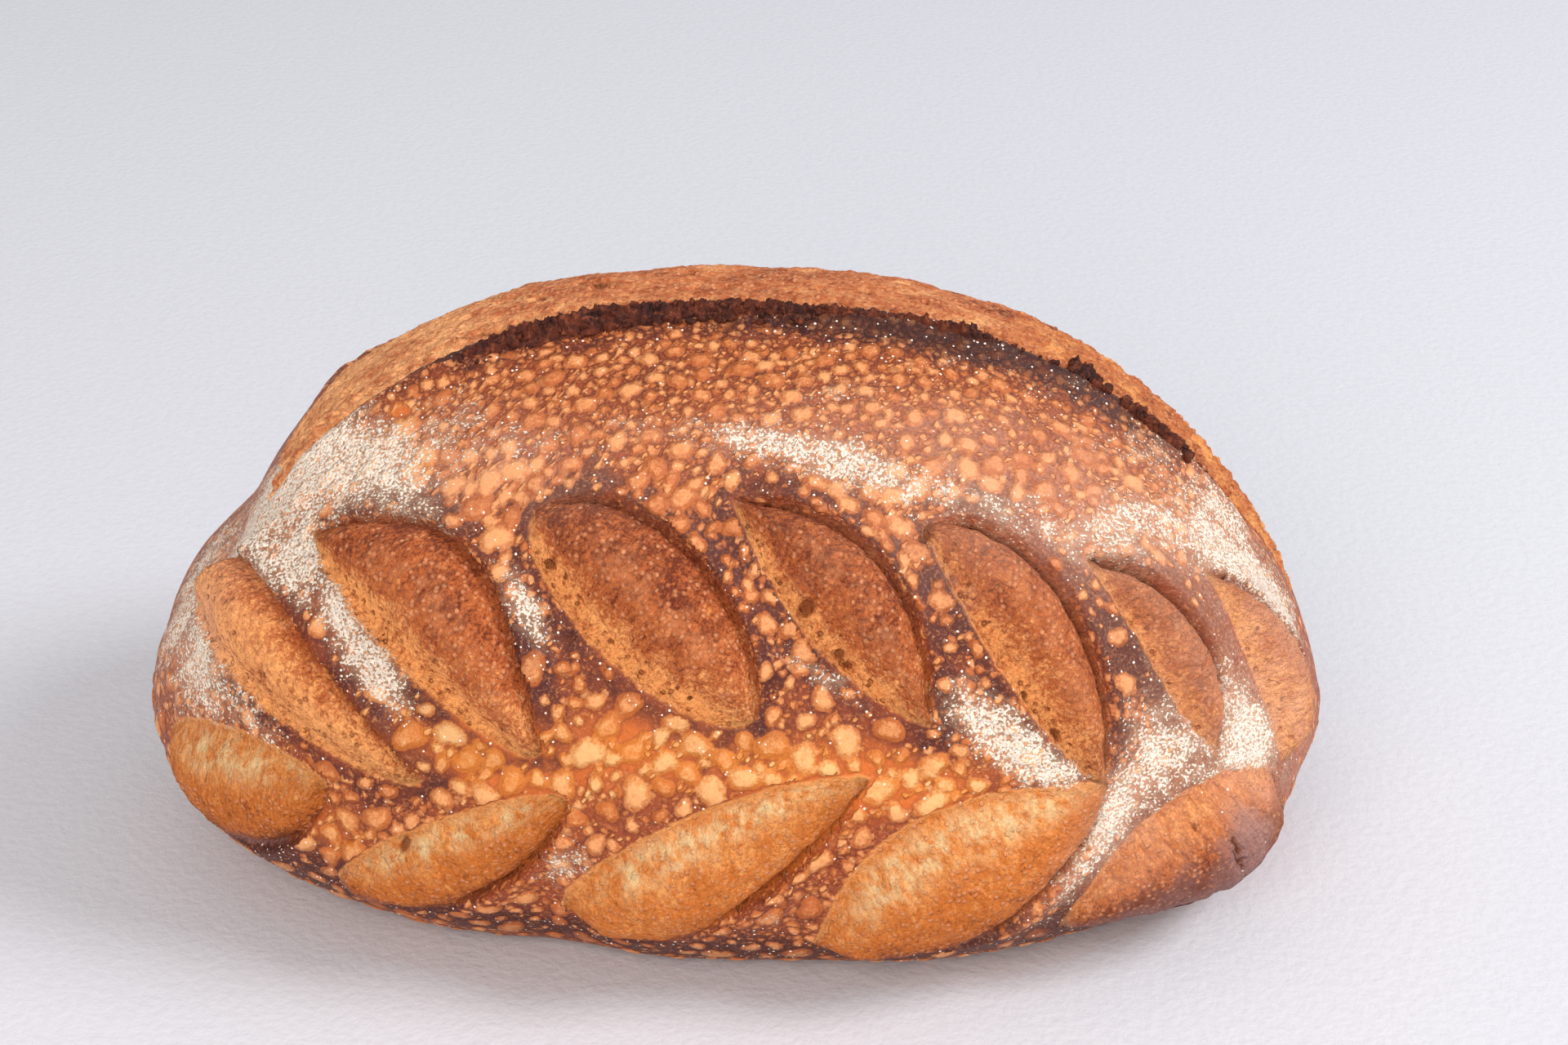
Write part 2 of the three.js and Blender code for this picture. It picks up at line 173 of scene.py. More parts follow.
GLOW_PATCHES = [
    (-12, 65, -77, 46, 9, -2, 1.0), (-50, 60, -73, 22, 9, -14, 0.9), (34, 59, -77, 24, 7, -5, 0.7),
    (-84, 34, -70, 14, 8, -30, 0.7), (-73, 116, -21, 4.5, 3, 0, 1.0), (-66, 112, -36, 4.5, 3, 0, 0.9),
    (18, 46, -80, 14, 6, 40, 0.7), (50, 56, -76, 10, 6, 0, 0.5),
]
HOLES = [  # pores worth a place of their own: [x, z, radius, depth]
    (43.6, 106.3, 1.9, 2.6), (18.6, 95.5, 2.3, 3.0), (25.6, 86.5, 1.4, 1.8), (27.6, 84, 1.2, 1.6),
    (-68.6, 36.8, 1.7, 2.4), (-99, 68, 1.3, 1.6), (-97.5, 66, 1.0, 1.2), (-61, 80, 1.1, 1.3),
    (110.4, 34.5, 1.1, 1.3), (110.8, 31.8, 1.3, 1.9), (111.5, 29, 1.4, 2.2), (112.4, 26.4, 1.1, 1.5),
    (-37, 101, 1.3, 1.5), (-31, 88, 1.1, 1.3), (72.6, 66, 1.4, 1.8), (66, 75, 1.1, 1.4),
]

# ---- fine patterns, in cells a metre
GRAINS = 1150
BLISTER_LAYERS = [  # [cells a metre, least radius, most radius, share left empty, strength, lift]
    (950, 0.28, 0.55, 0.35, 0.55, 0.1), (500, 0.32, 0.62, 0.2, 0.8, 0.24), (270, 0.30, 0.60, 0.34, 0.9, 0.45),
]
BLISTER_SWAY = 0.0026  # metres that a blister's outline wanders

# ---- how finely each piece is divided
COLUMNS = 352
CROWDING = 0.32
FRONT_ROWS = 212
EAR_FOLD_ROWS = 20
UNDER_BLOOM_ROWS = 6
BACK_ROWS = 34
BASE_ROWS = 6
BLOOM_COLUMNS = 620
BLOOM_ROWS = 130

# ---- stage, in metres and degrees
CAMERA_TURN = 3
CAMERA_RISE = 32
CAMERA_REACH = 0.700
CAMERA_AIM = (0, 0, 0.043)
CAMERA_LENS = 67
CAMERA_SHIFT = (60 / 1920, 160 / 1920)
DAYLIGHT = (0.94, 0.965, 1.0)
WORLD_STRENGTH = 0.60
LAMPS = [  # [name, place, size, watts, tint]
    ("window", (1.6, -0.15, 1.5), 0.9, 32, DAYLIGHT),
    ("fill", (-0.30, -1.5, 0.95), 1.3, 20, (1.0, 0.93, 0.86)),
]
LAMP_AIM = (0, 0, 0.05)
FLOOR_SIDE = 8
FLOOR_DROP = 0.0004  # keeps the floor clear of the flat base

DEG = math.pi / 180
rng = np.random.default_rng(11)


# ==== shape
def smooth(low, high, value):
    f = np.clip((value - low) / (high - low), 0, 1)
    return f * f * (3 - 2 * f)


def bell(value):
    return np.exp(-value * value)


def wander(a, phase):
    slow = 0.5 * np.sin(0.31 * a + phase)
    middle = 0.3 * np.sin(0.73 * a + 2.3 * phase)
    return slow + middle + 0.2 * np.sin(1.41 * a + 0.7 * phase)


def plan_scale(x):
    return np.maximum(1 - np.abs(x / HALF_LENGTH) ** PLAN_ROUND, 0) ** (1 / PLAN_ROUND)


def crown_scale(x):
    return np.maximum(1 - np.abs(x / HALF_LENGTH) ** CROWN_ROUND, 0) ** CROWN_FALL


def body(x, angle):
    """The plain loaf at stations x and angles round its section: 0 the front, a quarter turn the crown."""
    x, angle = np.broadcast_arrays(np.asarray(x, float), np.asarray(angle, float))
    c, s = np.cos(angle), np.sin(angle)
    power = np.where(c > 0, 2 / FRONT_ROUND, 2 / BACK_ROUND)
    reach = np.where(c > 0, -(FRONT + RIDGE), BACK - RIDGE)
    rise = np.where(s > 0, (HEIGHT - BELLY) * crown_scale(x), -BELLY * TUCK * plan_scale(x))
    y = RIDGE + reach * plan_scale(x) * np.abs(c) ** power
    z = BELLY + rise * np.abs(s) ** power
    return np.stack([x, y, z], -1)


def outward(x, angle):
    dx = np.where(np.asarray(x) > 0, -0.05, 0.05)
    along = (body(x + dx, angle) - body(x, angle)) * np.sign(dx)[..., None]
    around = body(x, angle + 1e-3) - body(x, angle - 1e-3)
    normal = np.cross(along, around)
    return normal / np.maximum(np.linalg.norm(normal, axis=-1, keepdims=True), 1e-12)


def angle_at(x, z):
    up = np.clip((z - BELLY) / np.maximum((HEIGHT - BELLY) * crown_scale(x), 1e-6), 0, 1)
    down = np.clip((BELLY - z) / np.maximum(BELLY * TUCK * plan_scale(x), 1e-6), 0, 1)
    power = FRONT_ROUND / 2
    return np.where(z >= BELLY, np.arcsin(up ** power), -np.arcsin(down ** power))


def rest_on_floor(z):
    rolled = (z + FLOOR_ROUND) ** 2 / (4 * FLOOR_ROUND)
    return np.where(z > FLOOR_ROUND, z, np.where(z < -FLOOR_ROUND, 0, rolled))


def front_point(x, z):
    return body(float(x), float(angle_at(float(x), float(z))))


def front_normal(x, z):
    return outward(float(x), float(angle_at(float(x), float(z))))


def unit(v):
    return v / np.linalg.norm(v)


def grain(points, size, octaves=3, phase=0.0):
    """Fractal noise between about -1 and 1 at each point, its largest swings `size` mm apart."""
    scaled = points / size + phase
    return np.array([noise.fractal(p, 0.9, 2.1, octaves) for p in scaled.tolist()])


def place_leaves():
    for leaf in LEAVES:
        (x0, z0), (x1, z1) = leaf["start"], leaf["end"]
        leaf["origin"] = front_point(x0, z0)
        span = front_point(x1, z1) - leaf["origin"]
        leaf["length"] = np.linalg.norm(span)
        leaf["heading"] = span / leaf["length"]
        facing = front_normal((x0 + x1) / 2, (z0 + z1) / 2)
        leaf["facing"] = unit(facing - leaf["heading"] * facing.dot(leaf["heading"]))
        leaf["aside"] = np.cross(leaf["facing"], leaf["heading"])


def bulge(along, side):
    reach, place, fullness = side
    s = np.clip(along, 0, 1)
    a, b = fullness * place, fullness * (1 - place)
    return reach * s ** a * (1 - s) ** b / (place ** a * (1 - place) ** b)


def against(leaf, points, ragged):
    """How far each point lies outside a leaf cut, how far past each side, and how far along it."""
    d = points - leaf["origin"]
    along = d @ leaf["heading"] / leaf["length"]
    t = d @ leaf["aside"]
    h = 0.01

    def slope(side):
        return (bulge(along + h, side) - bulge(along - h, side)) / (2 * h * leaf["length"])

    high = (t - bulge(along, leaf["high"])) / np.hypot(1, slope(leaf["high"]))
    low = (-bulge(along, leaf["low"]) - t) / np.hypot(1, slope(leaf["low"]))
    gap = np.maximum(high, low)
    past = (along - np.clip(along, 0, 1)) * leaf["length"]
    gap = np.where((along <= 0) | (along >= 1), np.hypot(past, t), gap)
    gap = np.where(np.abs(d @ leaf["facing"]) < 40, gap + ragged, FAR)
    return gap, high + ragged, low + ragged, along


def bake(leaf, along, across):
    """How toasted a cut's crumb is, with painted shade under the crust's lip, and where its painted highlight
    lies.
    """
    if leaf["torn_high"]:
        # a lower cut: a thin line of painted shadow under the lip at its top, darker towards its lower edge,
        # and a painted highlight a little below the top
        toast = 0.35 * bell(across / 0.05) + leaf["toast"] * (0.1 + 1.6 * smooth(0.15, 0.7, across))
        light = bell((across - 0.2) / 0.14) * smooth(0.05, 0.3, along) * smooth(1.0, 0.8, along)
        return toast + 0.6 * smooth(0.7, 1.0, across), light * (0.4 if leaf["toast"] > 1 else 1)
    # the torn strip stays golden and the heel least toasted; the wall above it and the far side are darkest,
    # partly from toasting and partly as painted shade that rounds the belly, the far side lying in the crust
    # lip's shade
    gold = leaf["gold"]
    heel = smooth(0.6, 0.95, along)
    belly = smooth(0.06 + gold, 0.52 + gold, across) * (1 - 0.65 * heel)
    belly = belly * (0.75 + 0.4 * bell((along - 0.2) / 0.3))
    belly = belly + 0.5 * bell((along - 0.58) / 0.17) * bell((across - 0.68) / 0.22)
    toast = leaf["toast"] * (belly + 0.22 * smooth(0.78, 0.97, across) * (1 - 0.5 * heel))
    # painted highlight along the high middle of the belly
    light = bell((across - 0.57) / 0.15) * smooth(0.1, 0.35, along) * smooth(1.0, 0.7, along)
    return toast - 0.4 * smooth(0.42 + gold, 0.04 + gold, across), light


def leaf_field(points):
    """Relief and masks of the nearest leaf cut at each point of the plain front."""
    ragged = 0.45 * grain(points, 5, 3)
    best = {"gap": np.full(len(points), float(FAR))}
    for number, leaf in enumerate(LEAVES):
        gap, high, low, along = against(leaf, points, ragged)
        lower = leaf["torn_high"]
        torn = np.maximum(0, -(high if lower else low))
        inner = np.maximum(0, -(low if lower else high))
        across = torn / np.maximum(0.1, torn + inner)
        dives = smooth(leaf["crease_from"] - 0.15, leaf["crease_from"] + 0.1, along)
        raised = 0.35 + 0.65 * dives * smooth(0.3, 0.7, across)
        lip = leaf["lip"] * raised * bell(np.maximum(0, gap) / LIP_WIDTH)
        swell = np.sin(np.pi * np.clip(across, 0, 1)) ** 0.8
        if not lower:
            swell = 0.6 * swell + 0.46 * smooth(0.04, 0.5, across) * smooth(1.04, 0.62, across)
        dip = leaf["dip"] * torn / DIP_WIDTH * np.exp(1 - torn / DIP_WIDTH)
        crease = leaf["crease"] * dives * bell(inner / CREASE_WIDTH) * (1 - 0.6 * smooth(0.6, 0.95, along))
        within = smooth(EDGE_SOFT, -EDGE_SOFT, gap)
        relief = lip * (1 - within) + (leaf["swell"] * swell - dip - crease) * within
        relief = relief * smooth(-0.03, 0.1, along) * smooth(1.03, 0.9, along)
        toast, light = bake(leaf, along, across)
        near = gap < best["gap"]
        for key, value in (("relief", np.where(gap > LEAF_REACH, 0, relief)), ("across", across),
                           ("along", along), ("toast", toast), ("light", light), ("number", number),
                           ("lower", lower * min(1.0, 2.1 - 1.5 * leaf["toast"])), ("gap", gap)):
            best[key] = np.where(near, value, best.get(key, 0.0))
    return best


def patch_field(points, patches):
    total = np.zeros(len(points))
    for x, z, y, half_length, half_width, tilt, strength in patches:
        centre = np.array([x, y, z], float)
        facing = front_normal(x, z)
        level = unit(np.cross([0, 0, 1.0], facing))  # along +x on the front
        level = level if level[0] > 0 else -level
        rise = np.cross(facing, level)
        rise = rise if rise[2] > 0 else -rise
        heading = level * math.cos(tilt * DEG) + rise * math.sin(tilt * DEG)
        aside = rise * math.cos(tilt * DEG) - level * math.sin(tilt * DEG)
        d = points - centre
        shape = bell(d @ heading / half_length) * bell(d @ aside / half_width)
        total += strength * shape * smooth(36, 16, np.abs(d @ facing))
    return total


def ear_angle(x):
    d = x - EAR_CENTRE
    left = EAR_FALL_LEFT * np.maximum(-d / EAR_REACH_LEFT, 0) ** 2.7
    right = EAR_FALL_RIGHT * np.maximum(d / EAR_REACH_RIGHT, 0) ** 2
    return (EAR_ANGLE - left - right) * DEG


def bloom_share(x):
    return np.clip(1 - np.abs((x - BLOOM_CENTRE) / BLOOM_HALF) ** 2.2, 0, 1)


def ear_share(x):
    return np.clip(1 - np.abs((x - 6) / EAR_HALF) ** 5, 0.08, 1)


def follow(table, x):
    """The second column of a table at x, straight between its rows."""
    return np.interp(x, *zip(*table))


def notch(x):
    low, low_full, high_full, high = NOTCH_SPAN
    return -END_NOTCH * smooth(low, low_full, x) * smooth(high, high_full, x)


def rear_bulge(x):
    return REAR_BULGE * bell((x + 110) / 8)


def undercut(x, z):
    return -END_UNDERCUT * smooth(122, 137, x) * bell((z - 15) / 14)


def section_marks(x):
    """At each station: the foot's angle, the ear's, the angle of 1 mm along the crown, the rear crust's."""
    foot = np.minimum(78 * DEG, np.arcsin(np.minimum(1, 1 / (TUCK * np.maximum(plan_scale(x), 1e-6)))))
    ear = ear_angle(x)
    stretch = np.linalg.norm(body(x, ear - 0.09) - body(x, ear - 0.11), axis=-1) / 0.02
    mm = 1 / np.maximum(25, stretch)
    rear = ear + 19 * mm + (BLOOM_WIDTH * bloom_share(x) + 6) * DEG
    return foot, ear, mm, rear


def even_angles(x, start, end, count):
    """For each station, `count` angles from start towards end, evenly spaced along the section."""
    fine = np.linspace(0, 1, 240)
    out = np.empty((len(x), count))
    for i in range(len(x)):
        angles = start[i] + (end[i] - start[i]) * fine
        line = body(np.full(240, x[i]), angles)
        run = np.concatenate([[0], np.cumsum(np.linalg.norm(np.diff(line, axis=0), axis=1))])
        out[i] = np.interp(np.arange(count) / count * run[-1], run, angles)
    return out


def stations(share):
    turn = np.pi * share + CROWDING / 2 * np.sin(2 * np.pi * share)
    return -HALF_LENGTH * np.cos(turn)


# ==== mesh helpers
def deselect():
    for thing in bpy.context.selected_objects:
        thing.select_set(False)
    bpy.context.view_layer.objects.active = None


def mesh_points(mesh):
    co = np.empty(len(mesh.vertices) * 3)
    mesh.vertices.foreach_get("co", co)
    return co.reshape(-1, 3)


def set_points(mesh, points):
    mesh.vertices.foreach_set("co", np.ascontiguousarray(points, dtype=np.float32).ravel())
    mesh.update()


def set_masks(mesh, **masks):
    for name, values in masks.items():
        layer = mesh.attributes.new(name, "FLOAT", "POINT")
        layer.data.foreach_set("value", np.ascontiguousarray(values, dtype=np.float32))


def to_frame(points):
    return (points + [0, CENTRE_SHIFT, 0]) * MM


def finish_piece(piece, name, material):
    piece.name = name
    piece.data.name = name
    piece.data.materials.clear()
    piece.data.materials.append(material)
    piece.data.shade_smooth()
    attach(piece, "root")
    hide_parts(NODE)
    deselect()
    return piece


# ==== crust
BLISTER_SPREAD = (0.30, 0.40)  # middle and spread of the logarithm of a radius
BLISTER_RADII = (0.75, 3.6)


def scatter_blisters(points, weight, wanted):
    """Blister centres and radii: points drawn by weight, the largest first, kept when they clear the rest."""
    drawn = points[rng.choice(len(points), size=wanted * 3, replace=True, p=weight / weight.sum())]
    radii = np.clip(rng.lognormal(*BLISTER_SPREAD, wanted * 3), *BLISTER_RADII)
    glow = np.clip(patch_field(drawn, GLOW_PATCHES), 0, 1)
    # those on the crown run into each other, the lower ones stand alone
    apart = 0.74 + 0.42 * smooth(98, 80, drawn[:, 2]) * (1 - 0.55 * glow)
    kept = []
    for number in np.argsort(-radii):
        gaps = np.linalg.norm(drawn[kept] - drawn[number], axis=1)
        if not np.any(gaps < apart[number] * (radii[kept] + radii[number])):
            kept.append(number)
        if len(kept) >= wanted:
            break
    x, z = drawn[kept, 0], drawn[kept, 2]
    radii = radii[kept] * (1 + 0.08 * glow[kept]) * (1 - 0.25 * (z > 116)) * (1 - 0.2 * smooth(30, 90, x))
    return drawn[kept], radii


def raise_blisters(points, centres, radii):
    """A cone per blister, 1 at its middle, 0 on its edge and negative beyond, with each one's tone."""
    cone = np.full(len(points), -1.0)
    tone = np.zeros(len(points))
    height = np.zeros(len(points))
    order = np.argsort(points[:, 0])
    sorted_x = points[order, 0]
    for centre, radius in zip(centres, radii):
        reach = radius * 2
        low, high = np.searchsorted(sorted_x, [centre[0] - reach, centre[0] + reach])
        near = order[low:high]
        d = points[near] - centre
        r = np.linalg.norm(d, axis=1)
        near, d, r = near[r < reach], d[r < reach], r[r < reach]
        turn = np.arctan2(d[:, 2], d[:, 0])
        a, b = rng.uniform(0, 2 * np.pi, 2)
        warped = radius * (1 + 0.16 * np.sin(2 * turn + a) + 0.09 * np.sin(3 * turn + b))
        value = 1 - r / warped
        better = value > cone[near]
        mine = near[better]
        cone[mine] = value[better]
        tone[mine] = rng.uniform()
        cap = np.sqrt(np.clip(value[better] * 1.9, 0, 1))
        height[mine] = np.maximum(height[mine], cap * (0.12 + 0.12 * radius))
    return cone, tone, height


def sink_holes(points, centres, radii, depths):
    cone = np.full(len(points), -1.0)
    drop = np.zeros(len(points))
    for centre, radius, depth in zip(centres, radii, depths):
        d = points - centre
        near = np.abs(d[:, 0]) < radius * 2.5
        r = np.linalg.norm(d[near] * [1, 1, 0.8], axis=1)
        turn = np.arctan2(d[near][:, 2], d[near][:, 0])
        value = 1 - r / (radius * (1 + 0.2 * np.sin(2 * turn + centre[0])))
        cone[near] = np.maximum(cone[near], value)
        drop[near] = np.maximum(drop[near], depth * smooth(-0.15, 0.6, value))
    return cone, drop


def crust_rows(line):
    """The angle of every row at every station, band by band, and each row's band."""
    foot, ear, mm, rear = section_marks(line)
    turns = np.arange(EAR_FOLD_ROWS) / EAR_FOLD_ROWS
    bands = [
        even_angles(line, -foot, ear - FOLD_HALF * mm, FRONT_ROWS),
        (ear - FOLD_HALF * mm)[:, None] + 2 * FOLD_HALF * mm[:, None] * turns,
        even_angles(line, ear + FOLD_HALF * mm, rear, UNDER_BLOOM_ROWS),
        even_angles(line, rear, np.pi + foot, BACK_ROWS),
        even_angles(line, np.pi + foot, 2 * np.pi - foot, BASE_ROWS),
    ]
    return np.concatenate(bands, axis=1), np.repeat(range(5), [b.shape[1] for b in bands])


def pores_in_cuts(sizes, base, skin, leaf):
    """Centres, radii and depths: the listed pores drawn onto the raised skin, and scattered small ones."""
    picks = np.flatnonzero((leaf["gap"] < -1.2) & (leaf["across"] < 0.34) & (leaf["lower"] < 0.5)
                           & (leaf["along"] > 0.1) & (leaf["along"] < 0.93))
    chosen = rng.choice(picks, sizes.pore_count, replace=False)
    listed = [np.argmin(np.linalg.norm(base - front_point(x, z), axis=1)) for x, z, *_ in HOLES]
    radii = [h[2] for h in HOLES] + list(0.35 + 0.6 * rng.uniform(0, 1, len(chosen)) ** 2)
    depths = [h[3] for h in HOLES] + list(rng.uniform(0.5, 1.2, len(chosen)))
    return skin[[*listed, *chosen]], radii, depths


def make_crust(sizes, material):
    """The whole skin from an ordinary sphere, its rings set as stations and its segments as rows."""
    rows = FRONT_ROWS + EAR_FOLD_ROWS + UNDER_BLOOM_ROWS + BACK_ROWS + BASE_ROWS
    bpy.ops.mesh.primitive_uv_sphere_add(segments=rows, ring_count=COLUMNS, radius=1)
    piece = bpy.context.object
    start = mesh_points(piece.data)
    ring = np.rint(np.arccos(np.clip(start[:, 2], -1, 1)) / np.pi * COLUMNS).astype(int)
    row = np.rint(np.arctan2(start[:, 1], start[:, 0]) / (2 * np.pi) * rows).astype(int) % rows
    share = np.arange(COLUMNS + 1) / COLUMNS
    share[0], share[-1] = 1e-4, 1 - 1e-4
    line = stations(share)
    angles, bands = crust_rows(line)
    x, angle, band = line[ring], angles[ring, row], bands[row]
    foot, ear, mm, rear = (mark[ring] for mark in section_marks(line))
    beyond = (angle - ear) / mm  # mm behind the ear's line
    behind = (angle - rear) / mm  # mm behind the rear crust's edge

    base = body(x, angle)
    normal = outward(x, angle)
    full = smooth(0.02, 0.3, plan_scale(x))[:, None]
    leaf = leaf_field(base)
    leaf["gap"] = np.where((beyond < -5) & (band == 0), leaf["gap"], FAR)
    relief = np.where(leaf["gap"] < LEAF_REACH, leaf["relief"], 0) * smooth(-3, -9, beyond)
    front = smooth(1.45, 1.0, angle) * smooth(-1.5, -1.1, angle)
    for lx, lz, wx, wz, rise in LOBES:
        relief = relief + rise * bell((x - lx) / wx) * bell((base[:, 2] - lz) / wz) * front

    # the ear's lip, torn and ragged along its top
    lip = ear_share(x)
    ragged = grain(base, 3.2, 4, 7.0)
    torn_from = follow(TORN_FRONT, x)
    torn_top = smooth(-torn_from - 0.6, -torn_from + 0.9, beyond) * smooth(5, 3, beyond)
    relief = relief + np.where(beyond < 9, follow(EAR_PROFILE, beyond) * lip, 0)
    relief = relief + torn_top * (ragged - 0.35) * (0.5 + 0.6 * bell((x - 2) / CRAG_HALF) ** 2) * lip
    # under the bloom the crust is sunk; behind it the rear crust's edge stands up
    rear_share = smooth(0, 0.4, bloom_share(x))
    sunk = smooth(3, 9, beyond) * smooth(1.5, -1.5, behind + 0.8 * grain(base, 6, 3, 3.0)) * (angle < 3.6)
    relief = relief - SUNK * sunk * rear_share * (beyond > 9)
    down = np.clip((angle - rear) / (np.pi + foot - rear), 0, 1)
    step = np.where((behind > -1.5) & (angle < 3.3), bell((down - 0.05) / 0.12), 0)
    relief = relief + sizes.rear_edge * step * rear_share * (1 + 0.25 * ragged)
    dropped = (notch(x) + rear_bulge(x)) * np.where(band == 0, smooth(-2, 9, beyond), 1)
    relief = relief + dropped * np.where(band == 3, smooth(0.7, 0, down), 1) * (band < 4)
    # gentle unevenness of the baked skin
    hide = grain(base, 26, 3, 1.0)
    relief = relief + 0.5 * hide * (band < 4) + undercut(x, base[:, 2])
    skin = base + normal * relief[:, None] * full

    # blisters rise everywhere outside the cuts, fewest in flour, on ridges and at the lower right
    flour, dark = patch_field(skin, FLOUR_PATCHES), patch_field(skin, DARK_PATCHES)
    glow = np.clip(patch_field(skin, GLOW_PATCHES), 0, 1)
    height = skin[:, 2]
    area = np.linalg.norm(np.gradient(body(line, 0.8), axis=0), axis=1)[ring]
    ridge = bell((leaf["gap"] - 3) / 4.5) * smooth(-0.3, 0.6, leaf["gap"])
    ridge = ridge * (leaf["lower"] < 0.5) * (band == 0)
    crowd = smooth(0.8, 2.4, leaf["gap"]) * smooth(-2.5, -5, beyond) * (band == 0) * area * plan_scale(x)
    crowd = crowd * (0.45 + 0.55 * smooth(-0.3, 0.4, hide)) * (1 - 0.85 * np.clip(1.2 * flour, 0, 1))
    crowd = crowd * smooth(2, 8, height) * (1 - 0.8 * ridge)
    crowd = crowd * (0.34 + 0.66 * np.maximum(smooth(76, 102, height), 1.5 * glow))
    crowd = crowd * (1 - 0.85 * smooth(80, 108, skin[:, 0]) * smooth(95, 80, height))
    cone, tone, rise = raise_blisters(skin, *scatter_blisters(skin, crowd, sizes.blister_count))
    allowed = smooth(0.1, 0.9, leaf["gap"]) * smooth(-1.5, -3, beyond)
    skin = skin + normal * (rise * allowed * sizes.blister_height)[:, None] * full

    # the crumb in the cuts: fibres, small cells and pores
    inside = smooth(0.3, -1.5, leaf["gap"])
    crumb = np.stack([leaf["across"] * 9 + leaf["number"] * 31, leaf["along"] * 21, 0 * x], -1)
    fibre = grain(crumb * [0.5, 1.6, 1], 1.6, 3) + 0.8 * grain(crumb * [0.25, 0.7, 1], 1.9, 2, 4.0)
    cells = grain(skin, 2.2, 2, 5.0)
    torn = np.exp(-np.abs(leaf["across"] * 14 - 2) / 3) * inside
    skin = skin + normal * (inside * (0.4 * fibre + 0.3 * cells + 0.4 * torn * cells))[:, None] * full
    pore, drop = sink_holes(skin, *pores_in_cuts(sizes, base, skin, leaf))
    skin = skin - normal * drop[:, None] * full
    skin[:, 2] = rest_on_floor(skin[:, 2])
    set_points(piece.data, to_frame(skin))

    scorched = bell(np.minimum(beyond + torn_from + 1.0, 0) / (7.0 + 4.0 * smooth(-20, 40, x)))
    torn_edge = np.where(np.abs(beyond) < 14, smooth(-0.5, 0.5, beyond + torn_from), 0) * lip
    set_masks(
        piece.data, cut=np.clip(-leaf["gap"], -12, 25), across=leaf["across"],
        run=leaf["along"] * 60 + leaf["number"] * 97, breadth=leaf["across"] * 26,
        toast=np.clip(leaf["toast"], -0.5, 1.6), light=leaf["light"], lower=leaf["lower"], flour=flour,
        haze=np.clip(patch_field(skin, HAZE_PATCHES), 0, 1), glow=glow, dark=dark + 0.62 * ridge,
        char=np.where(beyond < 6, scorched, 0) * smooth(0.1, 0.9, lip) * (0.66 + 0.46 * bell((x - 45) / 55)),
        torn_edge=torn_edge + rear_share * bell((behind + 0.5) / 2.0) * (band > 1) * (angle < 3.3),
        blister=np.where(allowed > 0.4, cone, -1), tone=tone, pore=pore)
    return finish_piece(piece, "crust", material)


# ==== bloom
def make_bloom(sizes, material):
    """The opened crumb behind the ear: a closed sheet tucked under the ear and the rear crust."""
    bpy.ops.mesh.primitive_grid_add(x_subdivisions=BLOOM_COLUMNS, y_subdivisions=BLOOM_ROWS, size=2)
    piece = bpy.context.object
    u, f = (mesh_points(piece.data).T[:2] + 1) / 2
    low, high = BLOOM_CENTRE - BLOOM_HALF - 3, min(BLOOM_CENTRE + BLOOM_HALF + 3, HALF_LENGTH - 1.2)
    x = low + (high - low) * (0.35 * (1 - np.cos(np.pi * u)) / 2 + 0.65 * u)  # closer at the ends
    _, ear, mm, rear = section_marks(x)
    first, last = ear + 2.4 * mm, rear + 3.0 * mm
    angle = first + (last - first) * f
    base = body(x, angle)
    behind_ear = f * (last - first) / mm
    before_rear = (1 - f) * (last - first) / mm
    share = bloom_share(x)
    broad = grain(base * [0.6, 1, 1], 17, 3, 4.0)
    fibre = grain(base * [0.35, 1.2, 1.2], 3.4, 4, 2.0)
    crumbs = grain(base, 2.0, 4, 9.0)
    pits = grain(base * [0.7, 1, 1], 4.5, 2, 6.0)
    relief = BLOOM_RISE * share ** 2 * smooth(0, 0.25, f) * smooth(1.15, 0.7, f) + notch(x) + rear_bulge(x)
    relief = relief + 1.1 * broad * share + 0.5 * fibre + 0.32 * crumbs * (0.6 + 0.5 * broad)
    relief = relief - 1.6 * smooth(0.38, 0.75, pits) + smooth(40, 80, x) * (0.6 * fibre + 0.1 * crumbs)
    # torn ridges run beside the ear, where the crumb parted last
    relief = relief + smooth(16, 3, behind_ear) * (0.9 * np.abs(fibre) + 0.5 * crumbs)
    edge = smooth(6.5, 0.5, behind_ear) + smooth(4, 0.2, before_rear)
    edge = np.clip(np.maximum(edge, smooth(0.05, 0.0, share)), 0, 1)
    relief = relief - BLOOM_TUCK * edge
    set_points(piece.data, to_frame(base + outward(x, angle) * relief[:, None]))
    cavity = 0.5 * fibre + 0.5 * crumbs - 1.4 * smooth(0.35, 0.75, pits) + 0.3 * broad
    set_masks(piece.data, cavity=cavity, side=x, edge=edge)

    # close it underneath: the rim is drawn down into the loaf and filled
    bpy.ops.object.mode_set(mode="EDIT")
    bpy.ops.mesh.select_all(action="SELECT")
    bpy.ops.mesh.region_to_loop()
    bpy.ops.mesh.extrude_region_move(TRANSFORM_OT_translate={"value": (0, 0, -sizes.bloom_depth)})
    bpy.ops.mesh.edge_face_add()
    bpy.ops.mesh.select_all(action="SELECT")
    bpy.ops.mesh.normals_make_consistent(inside=False)
    bpy.ops.mesh.select_all(action="DESELECT")
    bpy.ops.object.mode_set(mode="OBJECT")
    return finish_piece(piece, "bloom", material)


